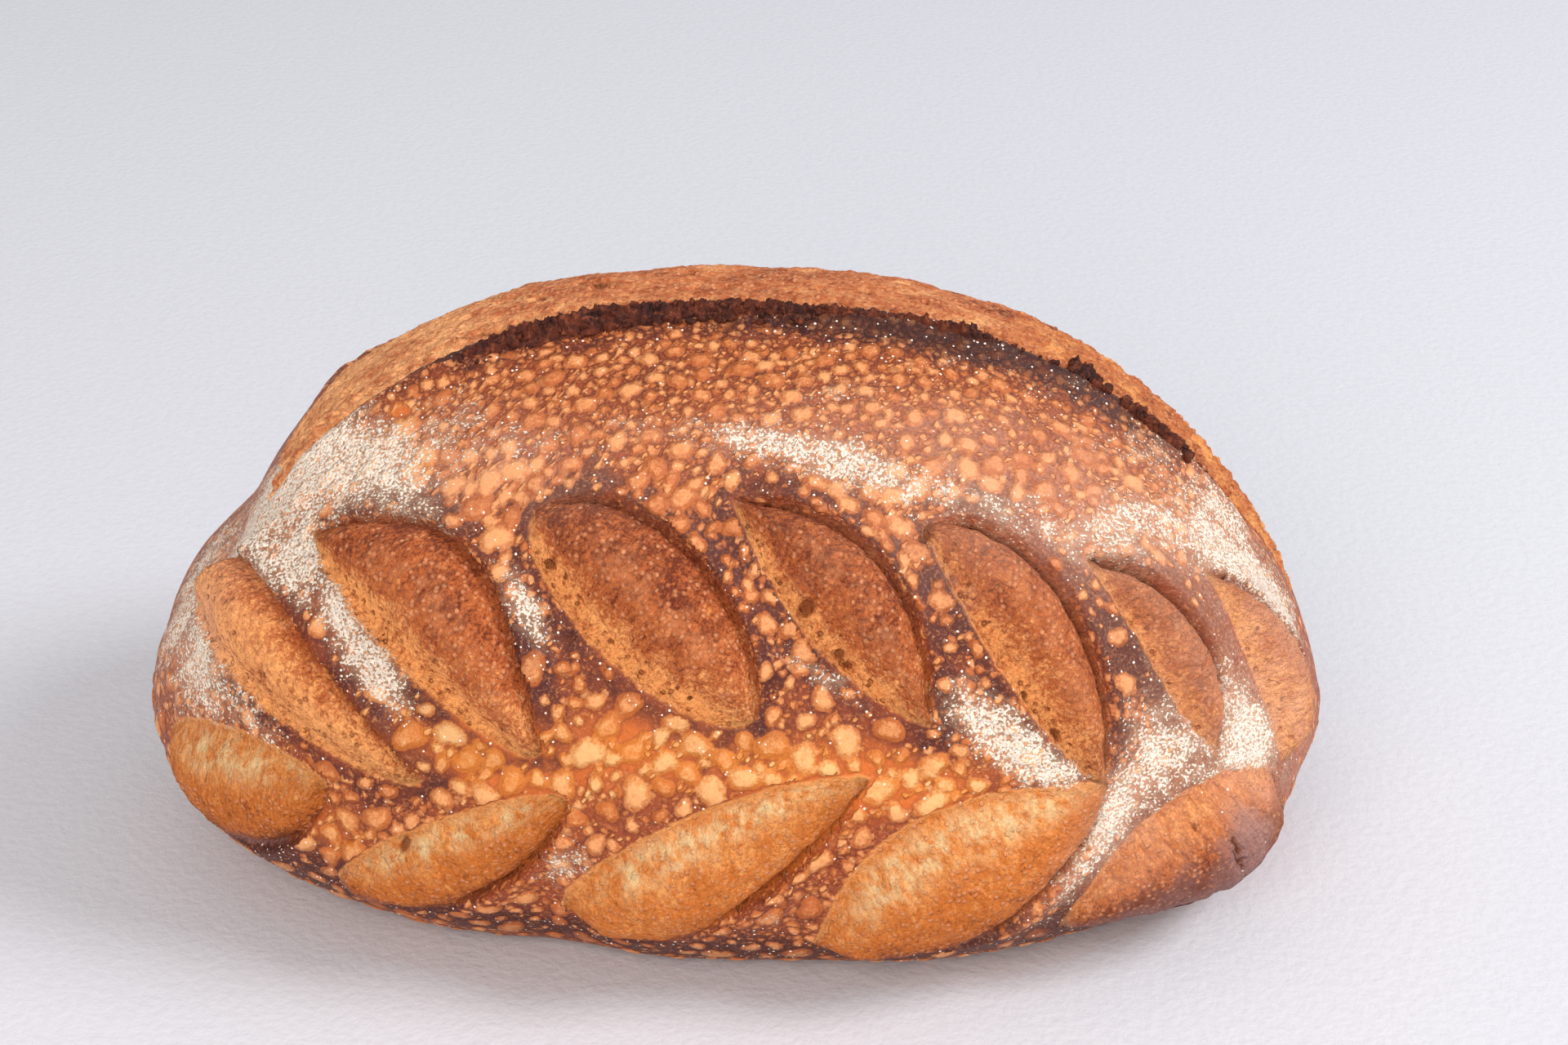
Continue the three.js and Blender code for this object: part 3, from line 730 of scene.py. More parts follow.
# ==== burnt crags on the ear
CRAG_LUMPS = [  # [from x, to x, lumps, smallest, largest, mm behind the ear's line, mm of spread]
    (-60, 20, 130, 0.4, 1.1, -1.4, 2.4), (-48, 12, 60, 0.5, 1.3, 0.3, 1.0), (20, 57, 40, 0.3, 0.9, 0.4, 0.8),
    (57, 84, 14, 0.25, 0.6, 1.0, 0.6), (76, 82, 46, 0.6, 1.7, 7.0, 2.8), (79, 83, 18, 0.5, 1.3, 2.0, 1.6),
    (86, 102, 50, 0.5, 1.4, 0.8, 1.8), (104, 112, 8, 0.3, 0.7, 1.2, 0.8), (47, 54, 12, 0.5, 1.2, 0.6, 1.2),
]
CRAG_TOP = [  # [x, mm that the burnt crumb stands above the lip]
    (-70, -0.6), (-56, 0.0), (-44, 0.5), (-30, 0.9), (-6, 0.7), (12, 0.4), (24, -0.2), (40, 0.1), (50, 0.9),
    (58, 0.0), (76, 0.2), (88, 0.8), (97, 1.2), (106, 0.0), (118, -0.4),
]
STRIP_SPANS = ((-62, 57), (85, 100))
STRIP_AROUND = 26
STRIP_STEP = 0.34
STRIP_TAPER = (12, 5)  # mm at the left and right end


def crag_strip(first, last):
    """The torn, burnt crumb along the lip: one long closed body, roughened all over."""
    steps = int((last - first) / STRIP_STEP)
    bpy.ops.mesh.primitive_uv_sphere_add(segments=STRIP_AROUND, ring_count=steps, radius=1)
    strip = bpy.context.object
    start = mesh_points(strip.data)
    x = first + (last - first) * np.arccos(np.clip(start[:, 2], -1, 1)) / np.pi
    turn = np.arctan2(start[:, 1], start[:, 0])
    left, right = STRIP_TAPER
    ends = np.sqrt(np.clip(np.minimum((x - first) / left, (last - x) / right), 0, 1))
    front = follow(TORN_FRONT, x)
    high = follow(CRAG_TOP, x) + 0.7 * wander(x * 2.1, 0.4) + 0.7 * wander(x * 5.3, 2.0)
    back = 0.5 - front / 2 + (front / 2 + 0.9) * np.sin(turn) * ends
    upper = 0.9 + np.maximum(high, -0.5) * smooth(-3, 0.5, back)
    lift = follow(EAR_PROFILE, back) * ear_share(x) - 0.5
    lift = lift + np.where(np.cos(turn) > 0, upper, 1.2) * np.cos(turn) * ends
    _, ear, mm, _ = section_marks(x)
    angle = ear + back * mm
    at = body(x, angle) + outward(x, angle) * lift[:, None]
    swing = np.stack([grain(at, 2.4, 4, phase) for phase in (11.0, 23.0, 37.0)], -1)
    small = np.stack([grain(at, 0.9, 3, phase) for phase in (3.0, 13.0, 29.0)], -1)
    amount = (0.5 + 0.15 * np.clip(front, 0, 4)) * ends
    set_points(strip.data, to_frame(at + amount[:, None] * swing + 0.42 * small))
    return strip


def crag_lump(x, radius, back):
    station = np.array([x])
    _, ear, mm, _ = section_marks(station)
    angle = ear + back * mm
    lift = float(follow(EAR_PROFILE, back) * ear_share(station)[0])
    lift = max(lift, 1.0) + 0.6 * float(follow(CRAG_TOP, x)) * rng.uniform(0.0, 1.2)
    bpy.ops.mesh.primitive_ico_sphere_add(subdivisions=2, radius=1)
    lump = bpy.context.object
    shape = mesh_points(lump.data)
    pull = 1 + 0.7 * grain(shape + x, 0.8, 3)
    shape = shape * pull[:, None] * radius * rng.uniform(0.6, 1.3, 3)
    set_points(lump.data, to_frame(shape + body(station, angle)[0] + outward(station, angle)[0] * lift))
    return lump


def make_crags(sizes, material):
    deselect()
    made = [crag_strip(*span) for span in STRIP_SPANS]
    for start, end, count, smallest, largest, back, spread in CRAG_LUMPS:
        for number in range(count):
            x = start + (end - start) * (number + rng.uniform(0.1, 0.9)) / count
            radius = rng.uniform(smallest, largest) * sizes.crag_size
            made.append(crag_lump(x, radius, back + spread * rng.uniform(-1, 1)))
    deselect()
    for part in made:
        part.select_set(True)
    bpy.context.view_layer.objects.active = made[0]
    bpy.ops.object.join()
    return finish_piece(bpy.context.object, "ear_crags", material)


# ==== shader helpers
class Wire:
    """A node's output, which is added to, multiplied and eased like a number."""

    def __init__(self, shader, socket):
        self.shader, self.socket = shader, socket

    def maths(self, operation, other):
        return self.shader.node("ShaderNodeMath", {0: self, 1: other}, operation=operation)[0]

    def __add__(self, other):
        return self.maths("ADD", other)

    def __sub__(self, other):
        return self.maths("SUBTRACT", other)

    def __mul__(self, other):
        return self.maths("MULTIPLY", other)

    def at_most(self, other):
        return self.maths("MINIMUM", other)

    def at_least(self, other):
        return self.maths("MAXIMUM", other)

    def soft(self, low, high, to_low=0.0, to_high=1.0):
        """Eased between to_low, where this is low, and to_high, where it is high."""
        sockets = {"Value": self, "From Min": low, "From Max": high, "To Min": to_low, "To Max": to_high}
        return self.shader.node("ShaderNodeMapRange", sockets, interpolation_type="SMOOTHSTEP")[0]


class Shader:
    """Adds nodes to a tree: plain values are set on the sockets, wires are linked to them."""

    def __init__(self, tree):
        self.tree = tree

    def feed(self, socket, value):
        if isinstance(value, Wire):
            self.tree.links.new(value.socket, socket)
        else:
            socket.default_value = (*value, 1) if socket.type == "RGBA" else value

    def node(self, kind, sockets, **settings):
        """A new node with its settings and inputs; gives its outputs as a list of wires."""
        made = self.tree.nodes.new(kind)
        for name, value in settings.items():
            setattr(made, name, value)
        for key, value in sockets.items():
            self.feed(made.inputs[key], value)
        return [Wire(self, socket) for socket in made.outputs]

    def mask(self, name):
        return self.node("ShaderNodeAttribute", {}, attribute_name=name)[2]

    def place(self):
        return self.node("ShaderNodeTexCoord", {})[3]

    def noise(self, vector, scale, detail, roughness, distortion=0.0):
        sockets = {"Vector": vector, "Scale": scale, "Detail": detail, "Roughness": roughness,
                   "Distortion": distortion}
        return self.node("ShaderNodeTexNoise", sockets)[0]

    def cells(self, vector, scale, feature="F1"):
        """The distance to a cell's middle, and three random numbers of that cell."""
        distance, colour, *_ = self.node("ShaderNodeTexVoronoi", {"Vector": vector, "Scale": scale},
                                         feature=feature)
        return distance, self.split(colour)

    def mix(self, a, b, factor):
        return self.node("ShaderNodeMix", {0: factor, 6: a, 7: b}, data_type="RGBA")[2]

    def vector(self, operation, a, b):
        return self.node("ShaderNodeVectorMath", {0: a, 1: b}, operation=operation)[0]

    def join(self, *parts):
        return self.node("ShaderNodeCombineXYZ", dict(enumerate(parts)))[0]

    def split(self, vector):
        return self.node("ShaderNodeSeparateXYZ", {0: vector})

    def use(self, group, **sockets):
        return self.node("ShaderNodeGroup", sockets, node_tree=group)

    def give(self, **results):
        """Ends a node group: an output for each result, in the order given."""
        for name in results:
            kind = "NodeSocketColor" if name == "Colour" else "NodeSocketFloat"
            self.tree.interface.new_socket(name=name, in_out="OUTPUT", socket_type=kind)
        self.node("NodeGroupOutput", results)
        return self.tree

    def surface(self, colour, roughness, specular, height, depth, strength=1.0):
        """Ends a material: the skin's colour and gloss, and a bump of `depth` metres."""
        bump = self.node("ShaderNodeBump", {"Height": height, "Distance": depth, "Strength": strength})
        skin = self.node("ShaderNodeBsdfPrincipled", {
            "Base Color": colour, "Roughness": roughness, "Specular IOR Level": specular, "Normal": bump[0]})
        self.node("ShaderNodeOutputMaterial", {0: skin[0]})


def new_material(name):
    material = bpy.data.materials.new(name)
    material.use_nodes = True
    material.node_tree.nodes.clear()
    return material, Shader(material.node_tree)


def new_group(name, colours, values, vectors):
    """A new node group: its shader, and its inputs as wires by their lower-case names."""
    tree = bpy.data.node_groups.new(name, "ShaderNodeTree")
    for labels, kind in ((colours, "Color"), (values, "Float"), (vectors, "Vector")):
        for label in labels.split():
            tree.interface.new_socket(name=label, in_out="INPUT", socket_type="NodeSocket" + kind)
    s = Shader(tree)
    wires = s.node("NodeGroupInput", {})
    return s, SimpleNamespace(**{w.socket.name.lower(): w for w in wires if w.socket.name})


# ==== shared effects
def flour_group():
    """Clumped flour grains and loose specks over a colour."""
    s, given = new_group("flour dusting", "Colour Flour Film", "Amount Specks", "Vector")
    clump = s.noise(given.vector, 240, 4, 0.65)
    level = (given.amount + (clump - 0.5) * 2.0) * given.amount.soft(0.03, 0.3)
    distance, kind = s.cells(given.vector, GRAINS)
    lumpy = s.noise(given.vector, 1500, 2, 0.5) + distance * -0.36
    grains = (lumpy - level.soft(-0.1, 1.5, 0.56, 0.20)).soft(0.0, 0.06) * level.soft(0.0, 0.15)
    film = level.soft(0.2, 1.3) * 0.34
    kept = (kind[1] + given.specks).soft(0.965, 0.985)
    speck = (distance + kind[2] * 0.14).soft(0.42, 0.29) * kept  # of differing size
    cover = (grains * (kind[2] * 0.3 + 0.66)).at_least(speck)
    filmed = s.mix(given.colour, given.film, film)
    return s.give(Colour=s.mix(filmed, given.flour, cover), Cover=cover.at_least(film),
                  Height=grains * distance.soft(0.7, 0.1))


def blister_group():
    """Crowded round blisters: the largest from the mesh's own cones, the rest from cells."""
    s, given = new_group("blister tint", "Ground Pale Deep Rim", "Cone Tone Crowd", "Vector")
    sway = s.node("ShaderNodeTexNoise", {"Vector": given.vector, "Scale": 420, "Detail": 3})[1]
    sway = s.vector("MULTIPLY", s.vector("SUBTRACT", sway, (0.5,) * 3), (BLISTER_SWAY,) * 3)
    place = s.vector("ADD", given.vector, sway)
    mottle = s.noise(given.vector, 640, 4, 0.7)
    uneven = mottle - 0.5
    colour, height = given.ground, None
    for scale, low, high, scarce, strength, lift in BLISTER_LAYERS:
        distance, kind = s.cells(place, scale)
        reach = kind[0].soft(0.0, 1.0, low, high) - distance
        if scale == BLISTER_LAYERS[-1][0]:
            # the largest keep a crease where they touch
            between = (s.cells(place, scale, "F2")[0] - distance) * 0.8
            reach = reach.at_most(between - 0.03)
        present = (kind[1] + (given.crowd - 1.0) * 0.8).soft(scarce, scarce + 0.1)
        # each blister is paler in its middle and deeper at its edge, partly its own tone and partly painted
        # highlight and shade that make it look domed; the outline is a painted shaded ring where it meets the
        # ground
        domed = reach.soft(-0.02, 0.34) + (kind[2] - 0.5) * 0.9
        tint = s.mix(given.deep, given.pale, (domed + uneven * 2.4).soft(0.15, 1.5))
        outline = reach.soft(-0.16, -0.03) * reach.soft(0.08, 0.0) * present
        colour = s.mix(colour, given.rim, outline * 0.5)
        colour = s.mix(colour, tint, reach.soft(-0.05, 0.12) * present * strength)
        dome = reach.soft(-0.03, 0.3) * present * lift
        height = dome.at_least(height) if height else dome
    cone = given.cone + uneven * 0.36
    large = cone.soft(-0.06, 0.14)
    grainy = uneven * 2.6 + (s.noise(given.vector, 1900, 2, 0.7) - 0.5) * 1.6
    # the mesh's blisters the same way: paler middles, partly tone and partly painted highlight, and a painted
    # shaded ring at their edge
    domed = cone.soft(-0.02, 0.6) * 1.1 + (given.tone - 0.5) * 1.25
    tint = s.mix(given.deep, given.pale, (domed + grainy).soft(0.0, 1.75))
    colour = s.mix(colour, given.rim, cone.soft(-0.28, -0.04) * cone.soft(0.14, 0.0) * 0.4)
    height = height * large.soft(0.9, 0.2, 0.3, 1.0) + cone.soft(-0.05, 0.5) * 0.5
    return s.give(Colour=s.mix(colour, tint, large * 0.85), Height=height + mottle * 0.2)


def crumb_group():
    """Fine baked crumb: beads, threads and toasted tips between a pale and a toasted colour."""
    s, given = new_group("baked crumb", "Pale Toasted Scorched Bead", "Toast Open Fibre", "Threads Vector")
    threads = s.noise(given.threads, 1.0, 3, 0.68, 0.8)
    folds = s.noise(given.threads, 0.3, 3, 0.6, 1.2)
    fine = s.noise(given.vector, 1300, 2, 0.7)
    broad = s.noise(given.vector, 150, 3, 0.62)
    distance, kind = s.cells(given.vector, 700)
    beads = distance.soft(0.56, 0.16) * kind[0].soft(0.35, 0.75)
    level = given.toast + (broad - 0.5) * 2.2
    for weave, strength in ((threads, 3.0), (folds, 2.4), (fine, 3.4)):
        level = level + (weave - 0.5) * strength * given.fibre
    colour = s.mix(given.pale, given.toasted, level.soft(-0.9, 0.75))
    colour = s.mix(colour, given.scorched, level.soft(0.7, 1.9) * 0.95)
    colour = s.mix(colour, given.bead, beads * given.toast.soft(-0.2, 0.4, 0.3, 0.85))
    # where the crumb is open, small cells whose floors are darkened as painted shade, with pale walls
    distance, kind = s.cells(given.vector, 520)
    cup = distance.soft(0.40, 0.12) * kind[1].soft(0.3, 0.9) * given.open
    wall = distance.soft(0.5, 0.62) * given.open
    colour = s.mix(s.mix(colour, given.toasted, cup * 0.65), given.pale, wall * 0.45)
    height = threads * 1.1 + beads * 0.4 + fine * 0.5 + broad * 0.5
    return s.give(Colour=colour, Height=height - cup - folds * 1.2)


def shared_groups():
    wanted = {"flour": ("flour dusting", flour_group), "blister": ("blister tint", blister_group),
              "crumb": ("baked crumb", crumb_group)}
    return {key: bpy.data.node_groups.get(name) or make() for key, (name, make) in wanted.items()}


# ==== materials
def crust_material(paint, groups):
    material, s = new_material("baked_crust")
    place = s.place()
    cut, across, toast, lower = (s.mask(name) for name in ("cut", "across", "toast", "lower"))
    flour, glow, dark, char, hazy = (s.mask(name) for name in ("flour", "glow", "dark", "char", "haze"))
    broad = s.noise(place, 40, 3, 0.6)
    mottle = s.noise(place, 210, 4, 0.65)
    fine = s.noise(place, 1300, 3, 0.7)
    uneven = mottle - 0.5
    patchy = (broad - 0.5) * 1.5 + uneven * 1.3

    # the skin between the cuts
    ground = s.mix(paint.crust_red, paint.crust_gold, (glow + uneven * 1.2).soft(0.1, 0.9))
    ground = s.mix(ground, paint.crust_dark, (dark * 0.95 + patchy).soft(-0.2, 0.85))
    ground = s.mix(ground, paint.burnt, (char + uneven * 0.9).soft(0.3, 1.0))
    ground = s.mix(ground, paint.crust_tan, fine.soft(0.5, 0.7) * 0.4)
    sooty = (dark * 0.6 + char * 0.9 + patchy * 0.4).soft(0.3, 1.25, 0.0, 0.9)
    pale = s.mix(s.mix(paint.blister_pale, paint.blister_cream, glow), paint.blister_sooty, sooty)
    deep = s.mix(s.mix(paint.blister_deep, paint.blister_amber, glow), paint.crust_dark, sooty * 0.8)
    crowd = (broad + glow * -0.3 + dark * -0.35).soft(0.15, 0.6, 0.55, 1.25)
    crowd = crowd + hazy * -0.45 + glow * -0.45 + dark * -0.5
    # the blisters get painted highlights in their middles and, in the rim colour, a painted shaded ring round
    # each
    blistered, blister_height = s.use(
        groups["blister"], Ground=ground, Pale=pale, Deep=deep,
        Rim=s.mix(paint.crust_dark, paint.crust_red, glow), Cone=s.mask("blister"),
        Tone=s.mask("tone"), Crowd=crowd, Vector=place)
    skin = s.mix(blistered, paint.burnt, char.soft(0.75, 1.05) * 0.7)

    # the crumb inside the cuts
    threads = s.join(s.mask("breadth") * 0.62, s.mask("run") * 0.95)
    crumb, crumb_height = s.use(
        groups["crumb"], Pale=s.mix(paint.crumb_gold, paint.crumb_pale, lower),
        Toasted=s.mix(paint.crumb_toasted, paint.crumb_amber, lower),
        Scorched=s.mix(paint.crumb_scorched, paint.crumb_brown, lower), Bead=paint.crumb_bead,
        Toast=toast + dark * 0.7, Open=toast.soft(0.2, -0.2) * lower.soft(0.6, 0.4),
        Fibre=lower.soft(0.1, 0.9, 0.9, 0.75), Threads=threads, Vector=place)
    blotches = s.noise(threads, 0.42, 3, 0.65, 0.6) * 0.4 + s.noise(place, 190, 4, 0.65) * 0.6
    # painted highlight where the mask 'light' is high: rosy on the upper bellies, cream on the lower cuts
    lit = s.mask("light") * (blotches + (fine - 0.5) * 0.25).soft(0.42, 0.6)
    crumb = s.mix(crumb, s.mix(paint.rose_highlight, paint.cream_highlight, lower),
                  lit * lower.soft(0.2, 0.8, 0.4, 0.85))
    # painted shade along a cut's far edge, where the crust's lip shades the belly
    crease_shade = across.soft(0.88, 0.99) * lower.soft(0.9, 0.1, 0.45, 0.8)
    crumb = s.mix(crumb, paint.crease, crease_shade * 0.65)
    ashen = (dark + uneven * 1.3).soft(0.5, 1.25)
    crumb = s.mix(crumb, s.mix(paint.ash, paint.crumb_brown, mottle), ashen * 0.85)
    # painted shade inside the pores
    crumb = s.mix(crumb, paint.pore, s.mask("pore").soft(-0.05, 0.35) * 0.8)
    ragged = cut + (s.noise(place, 420, 3, 0.6) - 0.5) * 1.3
    within = ragged.soft(-0.25, 0.3)
    colour = s.mix(skin, crumb, within)

    # a thin golden lip where the crust has torn, and the torn, burnt edge of the ear
    thin = ragged.soft(-0.7, 0.1) * ragged.soft(1.1, 0.3) * across.soft(0.5, 0.2)
    colour = s.mix(colour, paint.crumb_pale, thin * lower.soft(0.2, 0.8, 0.25, 0.6))
    torn = (s.mask("torn_edge") + uneven * 0.6).soft(0.3, 0.7)
    whole = torn.soft(1.0, 0.0)
    colour = s.mix(colour, s.mix(paint.crag, paint.burnt, mottle), torn)

    # the rosy dusting and the flour lie over everything but that edge
    haze = hazy * (patchy + (fine - 0.5) * 1.6).soft(-0.7, 0.6, 0.1, 0.55) * (within * 0.2 + 1.0)
    colour = s.mix(colour, paint.haze, haze * whole)
    drift = hazy * broad.soft(0.5, 0.68) * 0.4
    specks = char * 0.08 + flour.soft(0.0, 0.5, 0.0, 0.05) + dark * 0.07 + 0.006
    dusted, cover, flour_height = s.use(
        groups["flour"], Colour=colour, Flour=paint.flour,
        Film=s.mix(paint.flour_film, paint.crumb_pale, glow),
        Amount=(flour + drift) * cut.soft(2.0, -0.4) * whole,
        Specks=specks + cut.soft(-0.5, 0.5, 0.0, -0.08), Vector=place)
    roughness = within.soft(0.0, 1.0, 0.46, 0.72) + cover * 0.4
    skin_height = blister_height + mottle * 0.4 + fine * 0.2
    height = skin_height + (crumb_height - skin_height) * within
    height = height + flour_height * 0.35 + torn * mottle * 1.2
    s.surface(dusted, roughness.at_most(0.95), 0.22, height, 0.0011)
    return material


def bloom_material(paint, groups):
    material, s = new_material("opened_bloom")
    place = s.place()
    cavity, side = s.mask("cavity"), s.mask("side")
    x, y, z = s.split(place)
    threads = s.join(x * 260, y * 620, z * 620)
    torn = (s.noise(threads, 0.3, 4, 0.7) - 0.5) * side.soft(30.0, 80.0, 1.0, 5.0)
    toast = side.soft(62.0, 112.0, 0.62, 0.25) + side.soft(-30.0, -80.0, 0.0, -0.75) + torn
    toast = toast + (s.noise(place, 60, 4, 0.62) - 0.5) * 2.2 + cavity * 0.3
    colour, height = s.use(
        groups["crumb"], Pale=s.mix(paint.bloom_gold, paint.crumb_pale, side.soft(50.0, 80.0)),
        Toasted=paint.bloom_brown, Scorched=paint.crumb_scorched, Bead=paint.crumb_bead, Toast=toast,
        Open=0.4, Fibre=0.6, Threads=threads, Vector=place)
    # painted shade in the bloom's pits
    colour = s.mix(colour, paint.pore, cavity.soft(-0.5, -1.15) * 0.75)
    # painted shade, in the crag's colour, where the bloom tucks under the ear and the rear crust
    colour = s.mix(colour, paint.crag, s.mask("edge").soft(0.2, 0.9) * 0.9)
    s.surface(colour, 0.78, 0.3, height * 0.8 + s.noise(place, 420, 4, 0.65) * 0.5, 0.001)
    return material


def crag_material(paint):
    material, s = new_material("burnt_crag")
    place = s.place()
    colour = s.mix(paint.crag, paint.burnt, s.noise(place, 160, 3, 0.6).soft(0.4, 0.62))
    # lighter spots scattered by noise: partly lighter crumb, partly painted highlights of the crag's lit bits
    colour = s.mix(colour, paint.crag_highlight, s.noise(place, 520, 4, 0.7).soft(0.48, 0.7) * 0.7)
    s.surface(colour, 0.85, 0.25, s.noise(place, 700, 4, 0.7), 0.0012)
    return material


def floor_material(paint):
    material, s = new_material("pale_paper")
    tooth = s.noise(s.place(), 420, 4, 0.6)
    colour = s.mix(paint.floor, paint.floor_shade, tooth.soft(0.35, 0.7) * 0.35)
    s.surface(colour, 0.9, 0.1, tooth, 0.0004, 0.8)
    return material


# ==== settings
def shown(name, description, screen):
    """A colour given as it shows on a screen, 0 to 255, kept linear."""
    linear = tuple(((c / 255 + 0.055) / 1.055) ** 2.4 for c in screen)
    return bpy.props.FloatVectorProperty(name=name, description=description, subtype="COLOR",
                                         default=linear, min=0, max=1, size=3)


class LoafSizes(bpy.types.PropertyGroup):
    """Sizes and counts that shape the loaf's pieces"""
    blister_count: bpy.props.IntProperty(
        name="Blisters", description="Raised blisters over the crust", default=3100, min=0)
    blister_height: bpy.props.FloatProperty(
        name="Blister Height", description="Multiplies how far a blister stands up", default=1.0, min=0)
    pore_count: bpy.props.IntProperty(
        name="Pores", description="Open pores in the torn crumb of the cuts", default=44, min=0)
    rear_edge: bpy.props.FloatProperty(
        name="Rear Edge", description="Millimetres that the rear crust stands above the bloom",
        default=REAR_STEP, min=0)
    crag_size: bpy.props.FloatProperty(
        name="Crag Size", description="Multiplies the lumps of burnt crumb on the ear", default=1.0, min=0.1)
    bloom_depth: bpy.props.FloatProperty(
        name="Bloom Depth", description="How far the bloom reaches into the loaf", default=0.012,
        min=0.002, subtype="DISTANCE", unit="LENGTH")


class LoafColours(bpy.types.PropertyGroup):
    """The baked colours, as they show on a screen in plain light"""
    crust_red: shown("Crust Red", "Ground of the crust between blisters", (152, 70, 37))
    crust_dark: shown("Crust Dark", "Darkest baked crust", (79, 34, 28))
    crust_gold: shown("Crust Gold", "Crust between the two rows of cuts", (212, 108, 42))
    crust_tan: shown("Crust Tan", "Light flecks in the crust", (218, 142, 92))
    # a blister runs from its deep colour at the edge to its pale colour in the middle: partly its own tone,
    # partly painted dome shading
    blister_pale: shown("Blister Pale", "Lightest blisters", (242, 166, 106))
    blister_deep: shown("Blister Deep", "Darker blisters", (192, 102, 50))
    blister_amber: shown("Blister Amber", "Darker blisters of the middle band", (218, 126, 50))
    blister_cream: shown("Blister Cream", "Blisters of the middle band", (244, 188, 124))
    blister_sooty: shown("Blister Sooty", "Blisters on the darkest crust", (190, 126, 84))
    burnt: shown("Burnt", "Scorched crust by the ear", (60, 29, 25))
    ash: shown("Ash", "Scorched end of the last lower cut", (180, 148, 148))
    crag: shown("Crag", "Torn burnt crumb on the ear", (98, 44, 26))
    # partly lighter crumb, partly the painted highlight of the crag's lit bits
    crag_highlight: shown("Crag Light", "Lighter crumb on the ear", (158, 84, 54))
    # painted shade: the colour of a cut's far edge in the crust lip's shadow
    crease: shown("Crease", "Where a cut's belly dives under the crust", (118, 48, 16))
    crumb_gold: shown("Crumb Gold", "Torn strip of the upper cuts", (255, 174, 104))
    crumb_toasted: shown("Crumb Toasted", "Belly of the upper cuts", (184, 94, 46))
    crumb_scorched: shown("Crumb Scorched", "Darkest crumb", (108, 42, 22))
    crumb_bead: shown("Crumb Bead", "Light beads on the bellies", (226, 146, 100))
    # painted highlights: the high middle of the upper bellies and the palest patches of the lower cuts
    rose_highlight: shown("Crumb Rose", "High middle of the upper cuts' bellies", (226, 146, 98))
    cream_highlight: shown("Crumb Cream", "Palest patches of the lower cuts", (236, 204, 150))
    crumb_pale: shown("Crumb Pale", "Upper edge of the lower cuts", (236, 160, 92))
    crumb_amber: shown("Crumb Amber", "Belly of the lower cuts", (206, 112, 42))
    crumb_brown: shown("Crumb Brown", "Lower edge of the lower cuts", (130, 62, 28))
    # painted shade: the dark inside a pore of the cuts and a pit of the bloom
    pore: shown("Pore", "Inside of a pore", (128, 62, 26))
    bloom_gold: shown("Bloom Gold", "Palest crumb of the bloom", (255, 184, 122))
    bloom_brown: shown("Bloom Brown", "Toasted crumb of the bloom", (186, 98, 54))
    flour: shown("Flour", "Grains of flour on the crust", (252, 238, 220))
    flour_film: shown("Flour Film", "The thin film of flour between its grains", (240, 202, 166))
    haze: shown("Haze", "The rosy dusting of the shoulders", (232, 172, 142))
    floor: shown("Floor", "The plain floor", (214, 213, 218))
    floor_shade: shown("Floor Shade", "Tooth of the floor", (204, 203, 208))


# ==== stage
def aim_at(thing, target):
    thing.rotation_euler = (Vector(target) - thing.location).to_track_quat("-Z", "Y").to_euler()


def set_camera(scene):
    turn, rise = CAMERA_TURN * DEG, CAMERA_RISE * DEG
    back = Vector((math.sin(turn) * math.cos(rise), -math.cos(turn) * math.cos(rise), math.sin(rise)))
    bpy.ops.object.camera_add(location=Vector(CAMERA_AIM) + CAMERA_REACH * back)
    camera = bpy.context.object
    camera.name = "camera"
    camera.data.lens = CAMERA_LENS
    camera.data.sensor_width = 36
    camera.data.sensor_fit = "HORIZONTAL"
    camera.data.shift_x, camera.data.shift_y = CAMERA_SHIFT
    camera.data.clip_start = 0.05
    aim_at(camera, CAMERA_AIM)
    scene.camera = camera


def set_lamp(name, place, size, watts, tint):
    bpy.ops.object.light_add(type="AREA", location=place)
    lamp = bpy.context.object
    lamp.name = name
    lamp.data.shape = "DISK"
    lamp.data.size = size
    lamp.data.energy = watts
    lamp.data.color = tint
    aim_at(lamp, LAMP_AIM)


def set_world(scene):
    world = bpy.data.worlds.new("studio")
    world.use_nodes = True
    background = world.node_tree.nodes["Background"]
    background.inputs["Color"].default_value = (*DAYLIGHT, 1)
    background.inputs["Strength"].default_value = WORLD_STRENGTH
    scene.world = world


# ==== operators
class LOAF_OT_crust(bpy.types.Operator):
    """Model the blistered crust with its leaf cuts, ear and rear edge"""
    bl_idname = "loaf.crust"
    bl_label = "Crust With Leaf Cuts"

    def execute(self, context):
        deselect()
        place_leaves()
        make_crust(context.scene.loaf_sizes, crust_material(context.scene.loaf_colours, shared_groups()))
        return {"FINISHED"}


class LOAF_OT_bloom(bpy.types.Operator):
    """Model the opened crumb behind the ear"""
    bl_idname = "loaf.bloom"
    bl_label = "Opened Bloom"

    def execute(self, context):
        deselect()
        make_bloom(context.scene.loaf_sizes, bloom_material(context.scene.loaf_colours, shared_groups()))
        return {"FINISHED"}


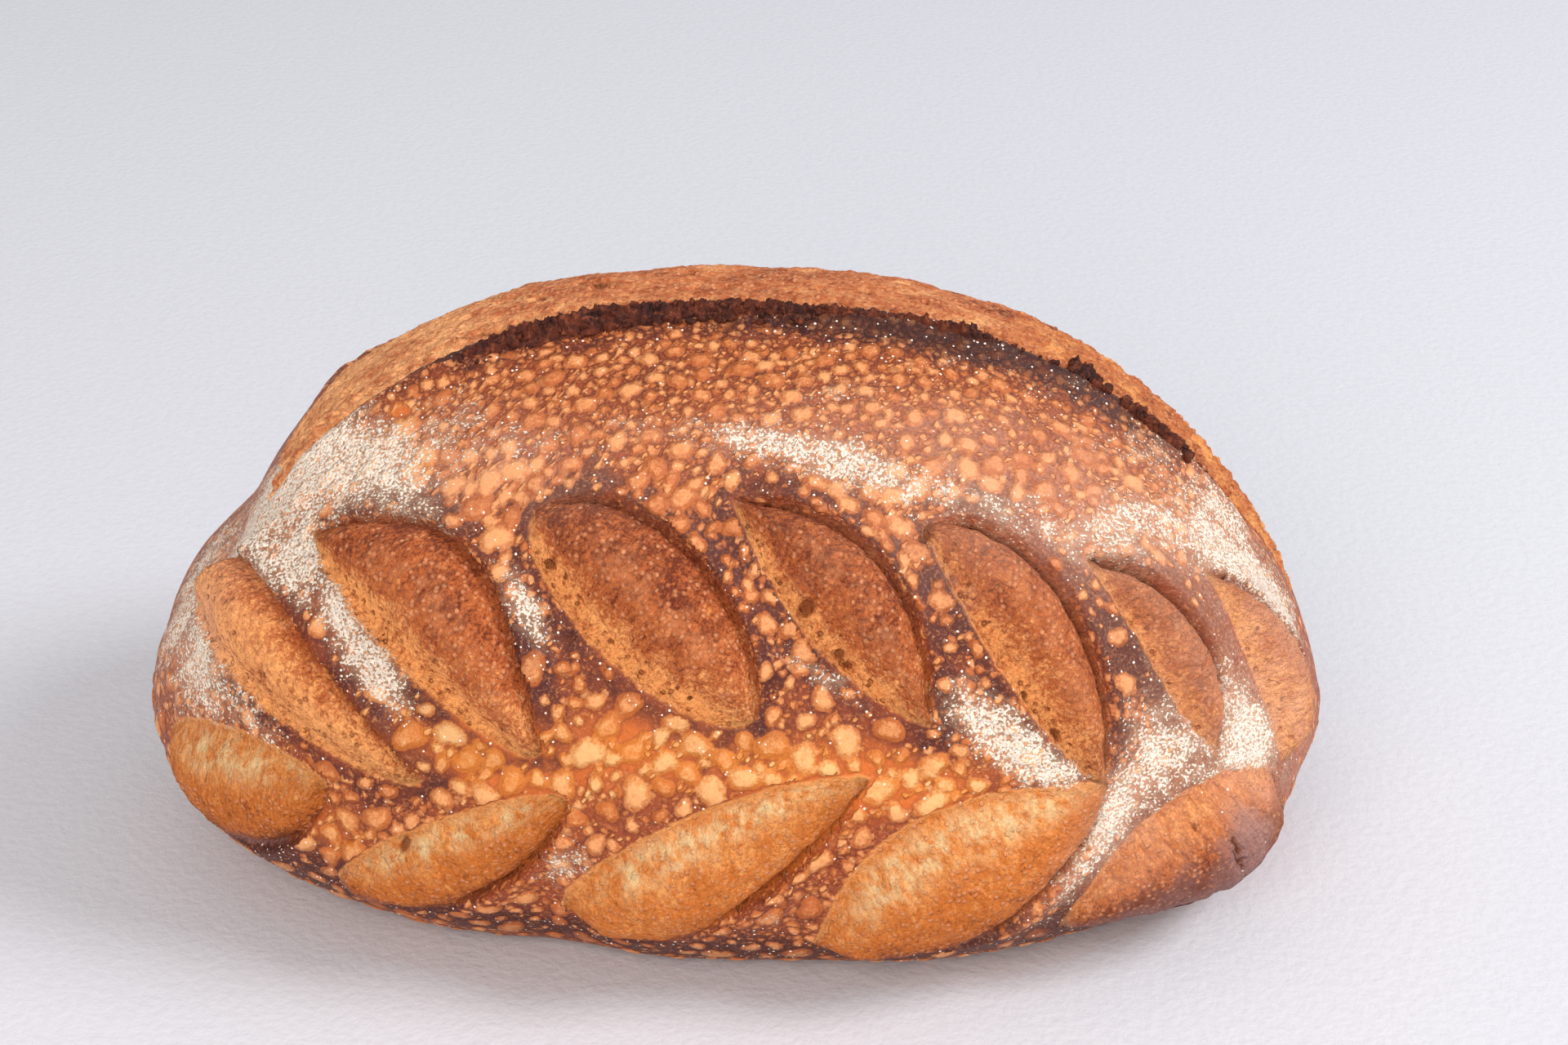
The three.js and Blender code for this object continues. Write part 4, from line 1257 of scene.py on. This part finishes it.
class LOAF_OT_crags(bpy.types.Operator):
    """Model the burnt crumb standing along the ear's torn edge"""
    bl_idname = "loaf.crags"
    bl_label = "Burnt Ear Crags"

    def execute(self, context):
        deselect()
        make_crags(context.scene.loaf_sizes, crag_material(context.scene.loaf_colours))
        return {"FINISHED"}


class LOAF_OT_stage(bpy.types.Operator):
    """Lay the floor and set the lights and the camera"""
    bl_idname = "loaf.stage"
    bl_label = "Floor, Lights And Camera"

    def execute(self, context):
        deselect()
        bpy.ops.mesh.primitive_plane_add(size=FLOOR_SIDE, location=(0, 0, -FLOOR_DROP))
        floor = bpy.context.object
        floor.name = "floor"
        bpy.ops.object.transform_apply(location=True, rotation=False, scale=False)
        floor.data.materials.append(floor_material(context.scene.loaf_colours))
        set_world(context.scene)
        for lamp in LAMPS:
            set_lamp(*lamp)
        set_camera(context.scene)
        context.scene.view_settings.view_transform = "Standard"
        deselect()
        return {"FINISHED"}


class LOAF_PT_panel(bpy.types.Panel):
    """The loaf's pieces and their sizes"""
    bl_idname = "LOAF_PT_panel"
    bl_label = "Sourdough Loaf"
    bl_space_type = "VIEW_3D"
    bl_region_type = "UI"
    bl_category = "Loaf"

    def draw(self, context):
        layout = self.layout
        for kind in OPERATORS:
            layout.operator(kind.bl_idname)
        for settings in (context.scene.loaf_sizes, context.scene.loaf_colours):
            for name in settings.bl_rna.properties.keys():
                if name not in ("rna_type", "name"):
                    layout.prop(settings, name)


OPERATORS = (LOAF_OT_crust, LOAF_OT_bloom, LOAF_OT_crags, LOAF_OT_stage)
CLASSES = (LoafSizes, LoafColours, *OPERATORS, LOAF_PT_panel)


def register():
    for kind in CLASSES:
        bpy.utils.register_class(kind)
    bpy.types.Scene.loaf_sizes = bpy.props.PointerProperty(type=LoafSizes)
    bpy.types.Scene.loaf_colours = bpy.props.PointerProperty(type=LoafColours)


def unregister():
    del bpy.types.Scene.loaf_sizes
    del bpy.types.Scene.loaf_colours
    for kind in reversed(CLASSES):
        bpy.utils.unregister_class(kind)


def main():
    register()
    for kind in OPERATORS:
        module, name = kind.bl_idname.split(".")
        getattr(getattr(bpy.ops, module), name)()


if __name__ == "__main__":
    main()
